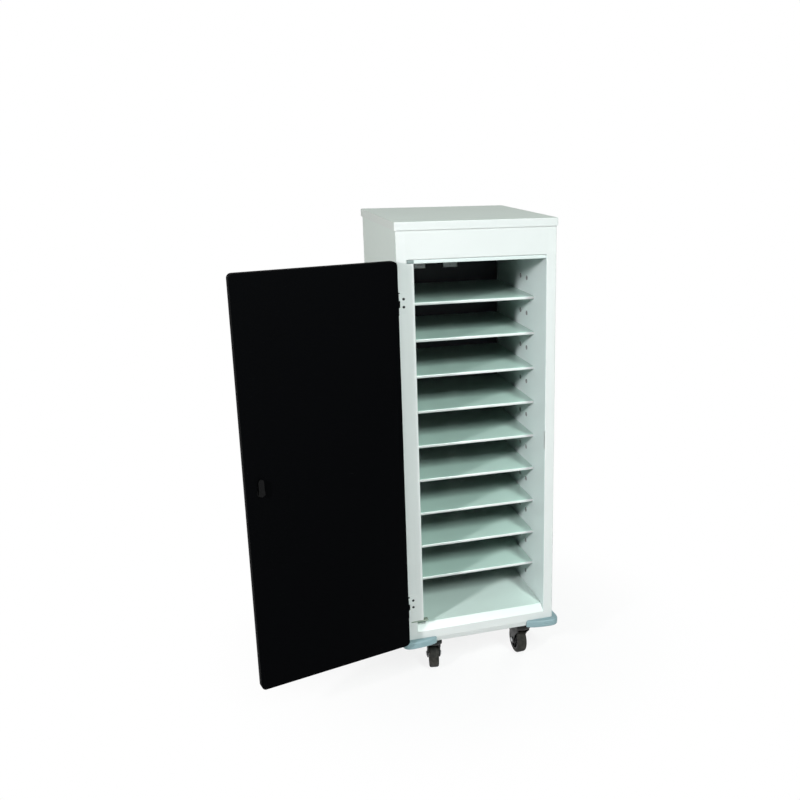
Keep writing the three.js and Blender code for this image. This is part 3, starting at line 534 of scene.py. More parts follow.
def rim_levels(low, high, edge, steps):
    """(inset, height) levels of a lower and an upper rim, each a quarter round of radius edge."""
    turns = [math.pi / 2 * k / steps for k in range(steps + 1)]
    lower = [(edge * (1 - math.sin(a)), low + edge * (1 - math.cos(a))) for a in turns]
    upper = [(edge * (1 - math.cos(a)), high - edge * (1 - math.sin(a))) for a in turns]
    return lower, upper


def slab(bm, outline, low, high, edge, matrix, steps):
    """An outline (u, v) raised from low to high with both rims rounded by edge."""
    lower, upper = rim_levels(low, high, edge, steps)
    loops = []
    for inset, height in lower + upper:
        flat = inset_outline(outline, inset) if inset else [Vector(p) for p in outline]
        loops.append([matrix @ Vector((p.x, p.y, height)) for p in flat])
    rings(bm, loops)


def block(bm, low, high, edge, matrix):
    """A box with all its edges rounded, by less where it is too narrow for them."""
    width = high[0] - low[0]
    depth = high[1] - low[1]
    corner = min(edge * BLOCK_CORNER, width / BLOCK_FIT, depth / BLOCK_FIT)
    outline = rounded_rectangle(low[0], high[0], low[1], high[1], corner, steps=4)
    slab(bm, outline, low[2], high[2], min(edge, corner * BLOCK_RIM), matrix, steps=2)


def facing(point, normal):
    """A matrix at point whose Z points along a level normal, with its Y upright."""
    outward = Vector(normal)
    turn = Matrix((UP.cross(outward), UP, outward)).transposed().to_4x4()
    return Matrix.Translation(point) @ turn


# Pan-head screws with a cross recess, in shares of the head's radius or height; angles in radians

SCREW_AXIS = 0.0008
SCREW_RIM = 0.35
SCREW_DOME_ANGLES = (0.35, 0.7, 1.05)
RECESS_ARM = 0.52
RECESS_HALF = 0.1
RECESS_FLOOR = 0.6


def screw_head(bm, matrix, radius, height):
    """A low rim under a dome with a flat top."""
    rim = SCREW_RIM * height
    profile = [(SCREW_AXIS * radius, 0.0), (radius, 0.0), (radius, rim)]
    for angle in SCREW_DOME_ANGLES:
        profile.append((radius * math.cos(angle), rim + (height - rim) * math.sin(angle)))
    turned(bm, profile, matrix, segments=24)


def cross_recess_shade(bm, matrix, radius, height):
    """Painted shade of the cross recess: a near-black cross set into a screw's head."""
    arm = RECESS_ARM * radius
    half = RECESS_HALF * radius
    for turn in (0, math.pi / 2):
        spin = matrix @ Matrix.Rotation(turn, 4, "Z")
        block(bm, (-arm, -half, RECESS_FLOOR * height), (arm, half, height), half / 2, spin)


def screws(name, places, radius, height, material):
    """A set of the cabinet's screws, and the painted shade in their cross recess as a second piece."""
    heads = bmesh.new()
    cuts = bmesh.new()
    for matrix in places:
        screw_head(heads, matrix, radius, height)
        cross_recess_shade(cuts, matrix, radius, height)
    piece(name, heads, material, "cabinet")
    piece(name + "_recess_shades", cuts, hole_shade_dark, "cabinet")


# Carcass

SHEET_EDGE = 0.25 * MM
SHEETS = (
    "side_panel_left",
    "side_panel_right",
    "hinge_post",
    "header_panel",
    "compartment_ceiling",
    "top_lid",
    "base_plinth",
    "base_plate",
    "back_panel",
    "rear_header",
    "rear_cover",
)
for sheet in (*SHEETS, *SHELVES):
    dress(sheet, SHEET_EDGE)

# Grommets in the holes of the inner walls: a flange with a short neck, whose grey partly serves as
# painted shade that makes the holes read darker and larger

HOLE_RISE = 39 * MM
HOLE_SETBACKS = (144 * MM, 193 * MM)
GROMMET = (
    (2.7, -1.5),
    (3.5, -1.5),
    (3.5, 0.05),
    (6.0, 0.05),
    (6.3, 0.35),
    (6.1, 0.8),
    (5.4, 1.1),
    (3.4, 1.1),
    (2.9, 0.9),
    (2.7, 0.5),
)


def make_grommets():
    walls = (
        (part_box("side_panel_left")[1].x, (1, 0, 0)),
        (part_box("side_panel_right")[0].x, (-1, 0, 0)),
    )
    grommets = bmesh.new()
    for x, inward in walls:
        for level in range(COMPARTMENTS):
            z = FLOOR_TOP + level * SHELF_PITCH + HOLE_RISE
            for setback in HOLE_SETBACKS:
                seat = facing((x, FRONT_Y + setback, z), inward)
                turned(grommets, in_metres(GROMMET), seat, segments=20, wrap=True)
    piece("wall_grommets", grommets, grommet_shade_plastic, "cabinet")


make_grommets()

# Filled seams of the front frame: feathered beads over the joints beside header, post and sill

SEAMS = (
    ("header_panel", "left"),
    ("header_panel", "right"),
    ("hinge_post", "left"),
    ("base_plinth", "left"),
    ("base_plinth", "right"),
)
SEAM_GAP = 0.3 * MM
SILL_FACE = (121.5 * MM, 141 * MM)
BEAD = (
    (-4, 0.01),
    (-0.9, -0.06),
    (0.9, -0.06),
    (4, 0.01),
    (0.13, 0.8),
    (-0.13, 0.8),
)


def make_seam_beads():
    beads = bmesh.new()
    for node, side in SEAMS:
        low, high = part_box(node)
        x = low.x - SEAM_GAP / 2 if side == "left" else high.x + SEAM_GAP / 2
        bottom, top = SILL_FACE if node == "base_plinth" else (low.z, high.z)
        loops = []
        for z in (bottom + SEAM_GAP, top - SEAM_GAP):
            loops.append([Vector((x + u, low.y + v, z)) for u, v in in_metres(BEAD)])
        rings(beads, loops)
    piece("frame_seam_beads", beads, looks["white_paint"], "cabinet")


make_seam_beads()

# Door: a folded pan closed by an inner sheet, with round corners

DOOR_CORNER = 11 * MM
PAN_EDGE = 1.4 * MM
INNER_SHEET_EDGE = 0.5 * MM


def door_place():
    """Takes the closed door's own axes, about its hinge, to where the door stands open."""
    hinge = joints["door_hinge"]
    x, y, _ = hinge["pos_m"]
    swing = math.radians(-hinge["range_deg"][1])
    return Matrix.Translation((x, y, 0)) @ Matrix.Rotation(swing, 4, "Z")


def door_box(node, place):
    """Corners of a door node in the closed door's own axes."""
    back = place.inverted()
    points = [back @ v.co for v in nodes[node].data.vertices]
    low = Vector([min(p[i] for p in points) for i in range(3)])
    high = Vector([max(p[i] for p in points) for i in range(3)])
    return low, high


def make_door():
    place = door_place()
    low, high = door_box("door_skin", place)
    outline = rounded_rectangle(low.x, high.x, low.z, high.z, DOOR_CORNER, steps=12)
    pan = bmesh.new()
    slab(pan, outline, -high.y, -low.y, PAN_EDGE, place @ FRONTWARDS, steps=4)
    piece("door_pan", pan, looks["door_paint"], "door", instead_of=["door_skin"])
    low, high = door_box("door_liner", place)
    sheet = bmesh.new()
    slab(sheet, outline, -high.y, -low.y, INNER_SHEET_EDGE, place @ FRONTWARDS, steps=3)
    piece("door_inner_sheet", sheet, looks["door_paint"], "door", instead_of=["door_liner"])


make_door()

# Hinges and lock

HINGE_EDGE = 0.2 * MM
LEAF_THICKNESS = 1.6 * MM
LEAF_SCREW_INSET = 10.2 * MM
LEAF_SCREW_RISE = 9.5 * MM
LEAF_SCREW_RADIUS = 3.3 * MM
LEAF_SCREW_HEIGHT = 0.9 * MM
LOCK_EDGE = 0.3 * MM


def fit_hinge(place):
    for part in ("frame_leaf", "pin", "door_leaf"):
        dress(f"{place}_hinge_{part}", HINGE_EDGE)
    low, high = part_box(f"{place}_hinge_frame_leaf")
    x = high.x - LEAF_SCREW_INSET
    y = high.y - LEAF_THICKNESS
    middle = (low.z + high.z) / 2
    heights = (middle - LEAF_SCREW_RISE, middle + LEAF_SCREW_RISE)
    spots = [facing((x, y, z), (0, -1, 0)) for z in heights]
    screws(f"{place}_hinge_screws", spots, LEAF_SCREW_RADIUS, LEAF_SCREW_HEIGHT, dark_screw)


for place in ("lower", "upper"):
    fit_hinge(place)
for part in ("lock_barrel", "lock_plug", "lock_cam"):
    dress(part, LOCK_EDGE)

# Corner bumpers: soft wrap-round mouldings with rounded rims and a parting groove

BUMPER_REACH = 75 * MM
BUMPER_PROUD = 16 * MM
BUMPER_END = 4 * MM
BUMPER_END_FLAT = 0.8 * MM
BUMPER_END_SWELL = 4.2 * MM
BUMPER_END_LENGTH = 3 * MM
BUMPER_FLANK = 64.5 * MM
BUMPER_ROUND = 5 * MM
GROOVE_DEPTH = 0.5 * MM
GROOVE_HALF = 0.6 * MM
GROOVE_FLOOR_HALF = 0.24 * MM
SEAT_GAP = 0.3 * MM
BUMPER_PLACES = (
    ("front_left", -SIDE_X, FRONT_Y, 0),
    ("front_right", SIDE_X, FRONT_Y, 90),
    ("rear_right", SIDE_X, REAR_Y, 180),
    ("rear_left", -SIDE_X, REAR_Y, -90),
)


def bumper_outline():
    """Outer edge in plan, from one arm's end to the other's, about the cabinet's corner."""
    proud = BUMPER_PROUD
    bulge = (BUMPER_PROUD + BUMPER_END) / 2
    tip = (-BUMPER_END_FLAT, BUMPER_REACH)
    shoulder = (-BUMPER_END_SWELL, BUMPER_REACH - BUMPER_END_LENGTH)
    bend = (-proud, proud / 2)
    arm = bezier([tip, (-BUMPER_END, BUMPER_REACH), shoulder], steps=5)
    arm += bezier([shoulder, (-bulge, BUMPER_FLANK), (-proud, BUMPER_REACH / 2), bend], steps=14)
    corner = bezier([bend, (-proud, -proud), (proud / 2, -proud)], steps=16)
    other_arm = [Vector((v.y, v.x)) for v in reversed(arm)]
    return arm + corner + [Vector((proud / 2, -proud))] + other_arm


def bumper_loop(outline, inset, height):
    """The outline drawn in by inset, closed by the two seat faces against the cabinet."""
    reach = BUMPER_REACH - inset
    points = []
    for i, here in enumerate(outline):
        before = outline[max(0, i - 1)]
        after = outline[min(len(outline) - 1, i + 1)]
        along = (after - before).normalized()
        moved = here + Vector((-along.y, along.x)) * inset
        point = Vector((min(moved.x, reach), min(moved.y, reach), height))
        if point.y > 0:
            point.x = min(point.x, -SEAT_GAP)
        if point.x > 0:
            point.y = min(point.y, -SEAT_GAP)
        points.append(point)
    start = Vector((-SEAT_GAP, reach, height))
    end = Vector((reach, -SEAT_GAP, height))
    return [start, *points, end, Vector((-SEAT_GAP, -SEAT_GAP, height))]


def bumper_levels(height):
    lower, upper = rim_levels(0, height, BUMPER_ROUND, steps=6)
    middle = height / 2
    groove = [
        (0, middle - GROOVE_HALF),
        (GROOVE_DEPTH, middle - GROOVE_FLOOR_HALF),
        (GROOVE_DEPTH, middle + GROOVE_FLOOR_HALF),
        (0, middle + GROOVE_HALF),
    ]
    return lower + groove + upper


def make_bumper(corner, x, y, turn):
    low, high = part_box(f"bumper_{corner}")
    place = Matrix.Translation((x, y, low.z)) @ Matrix.Rotation(math.radians(turn), 4, "Z")
    outline = bumper_outline()
    loops = []
    for inset, height in bumper_levels(high.z - low.z):
        loops.append([place @ point for point in bumper_loop(outline, inset, height)])
    guard = bmesh.new()
    rings(guard, loops)
    piece(
        f"corner_guard_{corner}",
        guard,
        looks["bumper_plastic"],
        "cabinet",
        instead_of=[f"bumper_{corner}"],
    )


for corner, x, y, turn in BUMPER_PLACES:
    make_bumper(corner, x, y, turn)

# Castors: a turned swivel head with fork legs, and a ribbed wheel with a rubber tread

SWIVEL_DEGREES = {"front_left": -11, "front_right": 3, "rear_left": 12, "rear_right": 12}
WHEEL_RADIUS = 37.5 * MM
WHEEL_HALF = 13 * MM
TRAIL = 22 * MM
CASTOR_EDGE = 0.4 * MM
HEAD_BOTTOM = 84.4 * MM
HEAD_TOP = 102.9 * MM
HEAD_AXIS = 0.5 * MM
HEAD_RADIUS = 32 * MM
HEAD_HALF_WIDTH = 21 * MM
HEAD_ROUND = 13 * MM
HEAD_RIM = 1.2 * MM
HEAD_GROOVE_DROP = 3.4 * MM
HEAD_GROOVE = ((0, 0), (-0.7, 0.3), (-0.7, 0.8), (0, 1.1))
LEG_INNER = 14.5 * MM
LEG_OUTER = 17.5 * MM
LEG_EDGE = 0.7 * MM
LEG_CROWN = 18 * MM
LEG_TOP = HEAD_BOTTOM + 6.5 * MM
LEG_SHOULDER = HEAD_BOTTOM - 6 * MM
LEG_FOOT = 11 * MM
EAR_Y = 46 * MM
EAR_Z = 76 * MM
EAR_RADIUS = 8 * MM
AXLE_BOSS = ((7.6, -0.2), (9.2, -0.2), (9.2, 0.2), (7.6, 0.2))
TREAD_INNER = 27.2 * MM
TREAD_SHOULDER = 5.5 * MM
TREAD_LIP = 0.8 * MM
HUB_SIDE = (
    (4.3, 12.6),
    (9.2, 12.6),
    (10, 11.8),
    (11, 7.2),
    (12.5, 6),
    (22.5, 6),
    (24, 7.4),
    (24.4, 12),
    (25, 12.6),
    (27, 12.6),
    (27.1, 12),
)
HUB_RIBS = 8
RIB_START = 9 * MM
RIB_END = 25 * MM
RIB_HALF = 1 * MM
RIB_INNER = 5.5 * MM
RIB_OUTER = 10.5 * MM
RIB_EDGE = 0.5 * MM


def castor_place(corner):
    """The middle of a castor's plate, on the floor, turned as the castor is at rest."""
    low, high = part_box(f"castor_plate_{corner}")
    middle = (low + high) / 2
    swivel = Matrix.Rotation(math.radians(SWIVEL_DEGREES[corner]), 4, "Z")
    return Matrix.Translation((middle.x, middle.y, 0)) @ swivel


def head_profile():
    groove = HEAD_TOP - HEAD_GROOVE_DROP
    return [
        (HEAD_AXIS, HEAD_BOTTOM),
        *arc(HEAD_RADIUS - HEAD_ROUND, HEAD_BOTTOM + HEAD_ROUND, HEAD_ROUND, -90, 0, steps=9),
        *[(HEAD_RADIUS + u, groove + v) for u, v in in_metres(HEAD_GROOVE)],
        *arc(HEAD_RADIUS - HEAD_RIM, HEAD_TOP - HEAD_RIM, HEAD_RIM, 0, 90, steps=3),
        (HEAD_AXIS, HEAD_TOP),
    ]


def leg_outline(braked):
    """A fork leg seen from the side, with an ear for the brake's hinge where there is one."""
    front = TRAIL - LEG_FOOT
    rear = TRAIL + LEG_FOOT
    waist = (front, (LEG_SHOULDER + WHEEL_RADIUS) / 2)
    points = [(-LEG_CROWN, LEG_TOP)]
    points += bezier([(-LEG_CROWN, LEG_SHOULDER), waist, (front, WHEEL_RADIUS)], steps=8)
    points += arc(TRAIL, WHEEL_RADIUS, LEG_FOOT, 180, 360, steps=16)
    if braked:
        points += arc(EAR_Y, EAR_Z, EAR_RADIUS, 0, 90, steps=6)
    else:
        points += bezier([(rear, LEG_SHOULDER), (rear, HEAD_BOTTOM), (LEG_CROWN, LEG_TOP)], steps=6)
    return points + [(LEG_CROWN, LEG_TOP)]


def tread_profile():
    shoulder = TREAD_SHOULDER
    right = arc(WHEEL_RADIUS - shoulder, WHEEL_HALF - shoulder, shoulder, 0, 90, steps=6)
    left = [(radius, -height) for radius, height in reversed(right)]
    lip = WHEEL_HALF - TREAD_LIP
    return [(TREAD_INNER, -lip), *left, *right, (TREAD_INNER, lip)]


def hub_profile():
    side = in_metres(HUB_SIDE)
    return [(radius, -height) for radius, height in side] + list(reversed(side))


def axle_at(place, x):
    """Where the wheel's axle crosses x, with Z along the axle."""
    return place @ Matrix.Translation((x, TRAIL, WHEEL_RADIUS)) @ CROSSWISE


def make_housing(corner, place):
    housing = bmesh.new()
    turned(housing, head_profile(), place, segments=64, flats=HEAD_HALF_WIDTH)
    outline = leg_outline(corner in BRAKED)
    for low, high in ((LEG_INNER, LEG_OUTER), (-LEG_OUTER, -LEG_INNER)):
        slab(housing, outline, low, high, LEG_EDGE, place @ SIDEWAYS, steps=2)
    for x in (LEG_OUTER, -LEG_OUTER):
        turned(housing, in_metres(AXLE_BOSS), axle_at(place, x), segments=32, wrap=True)
    piece(
        f"castor_housing_{corner}",
        housing,
        looks["castor_plastic"],
        f"castor_{corner}",
        instead_of=[f"castor_fork_{corner}"],
    )


def make_wheel(corner, place):
    axle = axle_at(place, 0)
    tyre = bmesh.new()
    turned(tyre, tread_profile(), axle, segments=72, wrap=True)
    piece(
        f"wheel_tread_{corner}",
        tyre,
        looks["tread_rubber"],
        f"wheel_{corner}",
        instead_of=[f"castor_wheel_{corner}"],
    )
    hub = bmesh.new()
    turned(hub, hub_profile(), axle, segments=56, wrap=True)
    for k in range(HUB_RIBS):
        spoke = axle @ Matrix.Rotation(2 * math.pi * k / HUB_RIBS, 4, "Z")
        for low, high in ((RIB_INNER, RIB_OUTER), (-RIB_OUTER, -RIB_INNER)):
            block(hub, (RIB_START, -RIB_HALF, low), (RIB_END, RIB_HALF, high), RIB_EDGE, spoke)
    piece(f"wheel_hub_{corner}", hub, looks["castor_plastic"], f"wheel_{corner}")


for corner in CORNERS:
    make_housing(corner, castor_place(corner))
    make_wheel(corner, castor_place(corner))
    dress(f"castor_plate_{corner}", CASTOR_EDGE)
    dress(f"castor_axle_{corner}", CASTOR_EDGE)

# Brake pedals: grip ribs across the tread of each pedal

PEDAL_EDGE = 0.6 * MM
GRIP_RIBS = 4
GRIP_START = 57 * MM
GRIP_STEP = 4 * MM
GRIP_HALF_LENGTH = 11 * MM
GRIP_HALF_WIDTH = 0.8 * MM
GRIP_BOTTOM = 78 * MM
GRIP_TOP = 79.4 * MM
GRIP_EDGE = 0.5 * MM


def make_grip(corner):
    grip = bmesh.new()
    for k in range(GRIP_RIBS):
        y = GRIP_START + k * GRIP_STEP
        low = (-GRIP_HALF_LENGTH, y - GRIP_HALF_WIDTH, GRIP_BOTTOM)
        high = (GRIP_HALF_LENGTH, y + GRIP_HALF_WIDTH, GRIP_TOP)
        block(grip, low, high, GRIP_EDGE, castor_place(corner))
    piece(f"brake_grip_{corner}", grip, looks["castor_plastic"], f"brake_{corner}")


for corner in BRAKED:
    dress(f"brake_pedal_{corner}", PEDAL_EDGE)
    make_grip(corner)

# Outlet strips: a channel with one round-welled outlet for each compartment

OUTLET_HALF_WIDTH = 20 * MM
OUTLET_HEIGHT = 45 * MM
OUTLET_EDGE = 0.7 * MM
OUTLET_TOP_DROP = 6.7 * MM
OUTLET_PROUD = 4.5 * MM
OUTLET_SINK = 0.4 * MM
WELL_DEPTH = 11 * MM
WELL = ((17.4, 0), (16.8, -0.6), (16.4, -10.4), (15.8, -11), (0.4, -11))
CHANNEL_CUT = 7 * MM
CHANNEL_EDGE = 0.6 * MM
CONTACT_X = 9.5 * MM
CONTACT = ((0.3, -0.5), (2.6, -0.5), (2.6, 0.1), (2.3, 0.2), (0.3, 0.2))
CLIP_Y = 15.6 * MM
CLIP_HALF_WIDTH = 2 * MM
CLIP_HALF_THICKNESS = 0.7 * MM
CLIP_TOP = -2.5 * MM
CLIP_EDGE = 0.3 * MM


def around(half_width, half_height, count):
    """Rays from a rectangle's centre, count to each side from its first corner on: their angles,
    and where they meet the rectangle's edge."""
    corner = math.atan2(half_height, half_width)
    upright = math.pi / 2 - corner
    sides = ((0, corner), (math.pi / 2, upright), (math.pi, corner), (math.pi * 1.5, upright))
    angles = []
    for centre, spread in sides:
        angles += [centre - spread + 2 * spread * k / count for k in range(count)]
    points = []
    for a in angles:
        c, s = math.cos(a), math.sin(a)
        reach = min(half_width / max(abs(c), TINY), half_height / max(abs(s), TINY))
        points.append((reach * c, reach * s))
    return angles, points


def outlet(bm, matrix, depth):
    """A module drawn about its face's centre, with its well sunk along -Z."""
    half_height = OUTLET_HEIGHT / 2
    angles, full = around(OUTLET_HALF_WIDTH, half_height, count=9)
    narrow = (OUTLET_HALF_WIDTH - OUTLET_EDGE) / OUTLET_HALF_WIDTH
    lower = (half_height - OUTLET_EDGE) / half_height
    face = [(x * narrow, y * lower) for x, y in full]
    stack = [(full, -depth), (full, -OUTLET_EDGE), (face, 0)]
    for radius, z in in_metres(WELL):
        stack.append(([(radius * math.cos(a), radius * math.sin(a)) for a in angles], z))
    rings(bm, [[matrix @ Vector((x, y, z)) for x, y in points] for points, z in stack])


def make_outlets(side):
    low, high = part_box(f"outlet_strip_{side}")
    x = (low.x + high.x) / 2
    channel_front = low.y + OUTLET_PROUD
    channel = [
        (low.x, channel_front),
        (high.x, channel_front),
        (high.x, high.y - CHANNEL_CUT),
        (high.x - CHANNEL_CUT, high.y),
        (low.x + CHANNEL_CUT, high.y),
        (low.x, high.y - CHANNEL_CUT),
    ]
    bar = bmesh.new()
    slab(bar, channel, low.z, high.z, CHANNEL_EDGE, UNTURNED, steps=2)
    contacts = bmesh.new()
    clips = bmesh.new()
    for level in range(1, COMPARTMENTS + 1):
        top = FLOOR_TOP + level * SHELF_PITCH - OUTLET_TOP_DROP
        face = facing((x, low.y, top - OUTLET_HEIGHT / 2), (0, -1, 0))
        outlet(bar, face, OUTLET_PROUD + OUTLET_SINK)
        # Painted shade: near-black discs at the well's floor stand for the contact holes
        for dx in (-CONTACT_X, CONTACT_X):
            hole = face @ Matrix.Translation((dx, 0, -WELL_DEPTH))
            turned(contacts, in_metres(CONTACT), hole, segments=20)
        for y in (-CLIP_Y, CLIP_Y):
            clip_low = (-CLIP_HALF_WIDTH, y - CLIP_HALF_THICKNESS, -WELL_DEPTH)
            clip_high = (CLIP_HALF_WIDTH, y + CLIP_HALF_THICKNESS, CLIP_TOP)
            block(clips, clip_low, clip_high, CLIP_EDGE, face)
    piece(
        f"outlet_bar_{side}",
        bar,
        looks["outlet_plastic"],
        "cabinet",
        instead_of=[f"outlet_strip_{side}"],
    )
    piece(f"outlet_contacts_{side}", contacts, hole_shade_dark, "cabinet")
    piece(f"outlet_earth_clips_{side}", clips, looks["zinc_steel"], "cabinet")


for side in ("left", "right"):
    make_outlets(side)
    dress(f"outlet_lead_{side}")

# Power unit, mains inlet and the rear's screws

POWER_UNIT_EDGE = 0.8 * MM
INLET_EDGE = 0.5 * MM
PIN_PLACES = ((-7, -2), (7, -2), (0, 3))
PIN_LOW = Vector((-1, -2, -1)) * MM
PIN_HIGH = Vector((1, 2, 12.5)) * MM
PIN_EDGE = 0.4 * MM
INLET_WELL_DEPTH = 16 * MM
INLET_SCREW_X = 20.5 * MM
INLET_SCREW_RADIUS = 2.6 * MM
INLET_SCREW_HEIGHT = 1.5 * MM
REAR_SCREW_INSET = 8 * MM
REAR_SCREW_RADIUS = 3.6 * MM
REAR_SCREW_HEIGHT = 2.0 * MM
COVER_SCREW_LEVELS = (150, 380, 610, 840, 1070)
HEADER_SCREW_LEVELS = (1128, 1164)


def make_inlet():
    low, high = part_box("mains_inlet")
    middle = (low + high) / 2
    pins = bmesh.new()
    for dx, dz in in_metres(PIN_PLACES):
        root = (middle.x + dx, high.y - INLET_WELL_DEPTH, middle.z + dz)
        block(pins, PIN_LOW, PIN_HIGH, PIN_EDGE, facing(root, (0, 1, 0)))
    piece("inlet_pins", pins, looks["zinc_steel"], "cabinet")
    places = (middle.x - INLET_SCREW_X, middle.x + INLET_SCREW_X)
    spots = [facing((x, high.y, middle.z), (0, 1, 0)) for x in places]
    screws("inlet_screws", spots, INLET_SCREW_RADIUS, INLET_SCREW_HEIGHT, looks["zinc_steel"])


def make_rear_screws():
    reach = SIDE_X - REAR_SCREW_INSET
    spots = []
    for x in (-reach, reach):
        for level in COVER_SCREW_LEVELS + HEADER_SCREW_LEVELS:
            spots.append(facing((x, REAR_Y, level * MM), (0, 1, 0)))
    screws("rear_screws", spots, REAR_SCREW_RADIUS, REAR_SCREW_HEIGHT, looks["zinc_steel"])


dress("power_unit", POWER_UNIT_EDGE)
dress("mains_lead")
dress("mains_inlet", INLET_EDGE)
make_inlet()
make_rear_screws()

# Pieces at the two ends of the hinge post, both painted shade: a grey cap above it for a shaded patch,
# and a thin olive plate under its foot for a shaded gap

CAP_SIDE_GAP = 0.2 * MM
CAP_BOTTOM = 0.4 * MM
CAP_TOP = 8 * MM
CAP_CORNER = 1 * MM
CAP_THICKNESS = 1.2 * MM
CAP_EDGE = 0.4 * MM
FOOT_LEFT = -191 * MM
FOOT_RIGHT = -146 * MM
FOOT_CHAMFER = 1 * MM
FOOT_PROUD = 1.1 * MM
FOOT_TAB_BACK = 0.2 * MM
FOOT_BACK = 13 * MM
FOOT_SIDE_GAP = 0.4 * MM
FOOT_DROP = 3.2 * MM
FOOT_GAP = 0.4 * MM
FOOT_EDGE = 0.15 * MM


def make_post_cap(low, high):
    front = -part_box("compartment_ceiling")[0].y
    left = low.x + CAP_SIDE_GAP
    bottom = high.z + CAP_BOTTOM
    outline = rounded_rectangle(left, high.x, bottom, high.z + CAP_TOP, CAP_CORNER, steps=4)
    cap = bmesh.new()
    slab(cap, outline, front, front + CAP_THICKNESS, CAP_EDGE, FRONTWARDS, steps=2)
    piece("post_end_shade_cap", cap, grey_shade_cap, "cabinet")


def make_post_foot(low):
    front = low.y - FOOT_PROUD
    tab_back = low.y - FOOT_TAB_BACK
    back = low.y + FOOT_BACK
    left = low.x + FOOT_SIDE_GAP
    outline = [
        (FOOT_LEFT, front),
        (FOOT_RIGHT - FOOT_CHAMFER, front),
        (FOOT_RIGHT, front + FOOT_CHAMFER),
        (FOOT_RIGHT, back),
        (left, back),
        (left, tab_back),
        (FOOT_LEFT, tab_back),
    ]
    foot = bmesh.new()
    slab(foot, outline, low.z - FOOT_DROP, low.z - FOOT_GAP, FOOT_EDGE, UNTURNED, steps=2)
    piece("post_foot_shade_plate", foot, olive_shade_plate, "cabinet")


post_low, post_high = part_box("hinge_post")
make_post_cap(post_low, post_high)
make_post_foot(post_low)

# Stage: a pale floor that stays white for the camera but keeps the shadow under the object

FLOOR_HALF = 14.0
FLOOR_COLOUR = (0.82, 0.83, 0.82)
SHADOW_COLOUR = (0.95, 0.95, 0.95)
SHADOW_SHARE = 0.16
SHADOW_FULL = 0.15
SHADOW_END = 0.75
AMBIENT_COLOUR = (0.93, 1.0, 0.965)
AMBIENT_STRENGTH = 0.02
BACKDROP_COLOUR = (1, 1, 1)


def directly_seen(tree):
    """1 for camera, glossy and transmission rays."""
    path = tree.nodes.new("ShaderNodeLightPath")
    last = path.outputs["Is Camera Ray"]
    for name in ("Is Glossy Ray", "Is Transmission Ray"):
        most = tree.nodes.new("ShaderNodeMath")
        most.operation = "MAXIMUM"
        tree.links.new(last, most.inputs[0])
        tree.links.new(path.outputs[name], most.inputs[1])
        last = most.outputs[0]
    return last


def diffuse(tree, colour):
    node = tree.nodes.new("ShaderNodeBsdfDiffuse")
    node.inputs["Color"].default_value = (*colour, 1)
    return node.outputs[0]


def background(tree, colour, strength):
    node = tree.nodes.new("ShaderNodeBackground")
    node.inputs["Color"].default_value = (*colour, 1)
    node.inputs["Strength"].default_value = strength
    return node.outputs[0]


def mixed(tree, factor, first, second):
    """The shader first where factor is 0, and second where it is 1."""
    node = tree.nodes.new("ShaderNodeMixShader")
    tree.links.new(factor, node.inputs[0])
    tree.links.new(first, node.inputs[1])
    tree.links.new(second, node.inputs[2])
    return node.outputs[0]


def shadow_share(tree):
    """How much of the shadow the floor shows, by the distance from the object."""
    coordinates = tree.nodes.new("ShaderNodeTexCoord")
    length = tree.nodes.new("ShaderNodeVectorMath")
    length.operation = "LENGTH"
    tree.links.new(coordinates.outputs["Object"], length.inputs[0])
    fade = tree.nodes.new("ShaderNodeMapRange")
    fade.interpolation_type = "SMOOTHSTEP"
    fade.inputs["From Min"].default_value = SHADOW_FULL
    fade.inputs["From Max"].default_value = SHADOW_END
    fade.inputs["To Min"].default_value = SHADOW_SHARE
    fade.inputs["To Max"].default_value = 0.0
    tree.links.new(length.outputs["Value"], fade.inputs["Value"])
    return fade.outputs["Result"]


def floor_material():
    material = bpy.data.materials.new("studio_floor")
    material.use_nodes = True
    tree = material.node_tree
    tree.nodes.clear()
    output = tree.nodes.new("ShaderNodeOutputMaterial")
    white = tree.nodes.new("ShaderNodeEmission")
    seen = mixed(tree, shadow_share(tree), white.outputs[0], diffuse(tree, SHADOW_COLOUR))
    surface = mixed(tree, directly_seen(tree), diffuse(tree, FLOOR_COLOUR), seen)
    tree.links.new(surface, output.inputs["Surface"])
    return material


def make_floor():
    reach = FLOOR_HALF
    corners = [(-reach, -reach, 0), (reach, -reach, 0), (reach, reach, 0), (-reach, reach, 0)]
    mesh = bpy.data.meshes.new("floor")
    mesh.from_pydata(corners, [], [(0, 1, 2, 3)])
    mesh.materials.append(floor_material())
    floor = bpy.data.objects.new("floor", mesh)
    scene.collection.objects.link(floor)


def make_world():
    """A dim ambient light, behind a white backdrop."""
    world = bpy.data.worlds.new("studio")
    scene.world = world
    world.use_nodes = True
    tree = world.node_tree
    tree.nodes.clear()
    output = tree.nodes.new("ShaderNodeOutputWorld")
    ambient = background(tree, AMBIENT_COLOUR, AMBIENT_STRENGTH)
    backdrop = background(tree, BACKDROP_COLOUR, strength=1.0)
    tree.links.new(mixed(tree, directly_seen(tree), ambient, backdrop), output.inputs["Surface"])


make_floor()
make_world()

# Lights: each looks at the middle of the cabinet's front

LIT_POINT = Vector((0, -0.2, 0.65))


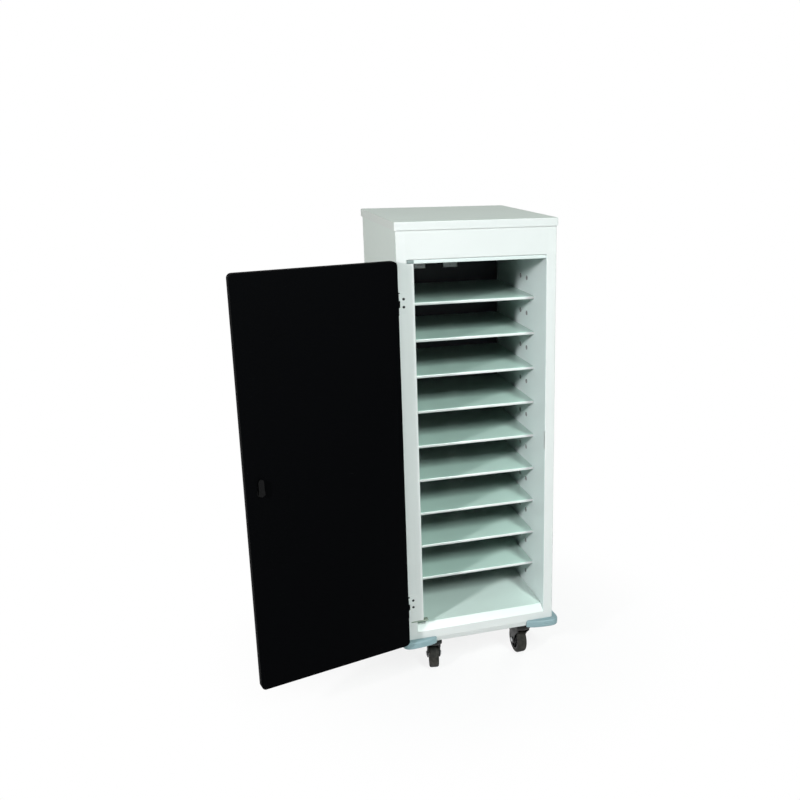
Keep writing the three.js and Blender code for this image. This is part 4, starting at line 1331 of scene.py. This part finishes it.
def around_object(azimuth, elevation, distance):
    """A place about the lit point; azimuth 0 is straight in front of it, positive to the left."""
    a, e = math.radians(azimuth), math.radians(elevation)
    away = Vector((-math.sin(a) * math.cos(e), -math.cos(a) * math.cos(e), math.sin(e)))
    return LIT_POINT + away * distance


def softbox(name, azimuth, elevation, distance, power, size, colour, glossy=True):
    lamp = bpy.data.lights.new(name, "AREA")
    lamp.shape = "RECTANGLE"
    lamp.size, lamp.size_y = size
    lamp.energy = power
    lamp.color = colour
    obj = bpy.data.objects.new(name, lamp)
    obj.location = around_object(azimuth, elevation, distance)
    obj.rotation_euler = (LIT_POINT - obj.location).to_track_quat("-Z", "Y").to_euler()
    obj.visible_glossy = glossy
    scene.collection.objects.link(obj)


softbox(
    "left_softbox",
    azimuth=57,
    elevation=20,
    distance=3.2,
    power=62,
    size=(0.22, 0.36),
    colour=(1.0, 0.95, 0.975),
)
softbox(
    "right_softbox",
    azimuth=-15,
    elevation=38,
    distance=5.0,
    power=186,
    size=(0.6, 1.7),
    colour=(0.885, 1.0, 0.965),
)
softbox(
    "front_fill",
    azimuth=-6,
    elevation=2,
    distance=5.4,
    power=11,
    size=(0.8, 0.8),
    colour=(0.94, 1.0, 1.0),
)
softbox(
    "rear_fill",
    azimuth=-145,
    elevation=8,
    distance=4.6,
    power=105,
    size=(1.6, 1.6),
    colour=(1.0, 1.0, 1.0),
    glossy=False,
)

# Camera at the photograph's viewpoint

CAMERA_PLACE = (-0.6425, -2.3680, 1.3897)
CAMERA_DIP = 0.2763
CAMERA_HEADING = -0.3262
CAMERA_LENS = 42.17
CAMERA_SENSOR = 36
CAMERA_SHIFT = (-0.1408, 0.0022)

camera_data = bpy.data.cameras.new("camera")
camera_data.lens = CAMERA_LENS
camera_data.sensor_width = CAMERA_SENSOR
camera_data.shift_x, camera_data.shift_y = CAMERA_SHIFT
camera = bpy.data.objects.new("camera", camera_data)
camera.location = CAMERA_PLACE
camera.rotation_euler = (math.pi / 2 - CAMERA_DIP, 0, CAMERA_HEADING)
scene.collection.objects.link(camera)
scene.camera = camera
scene.view_settings.view_transform = "Standard"
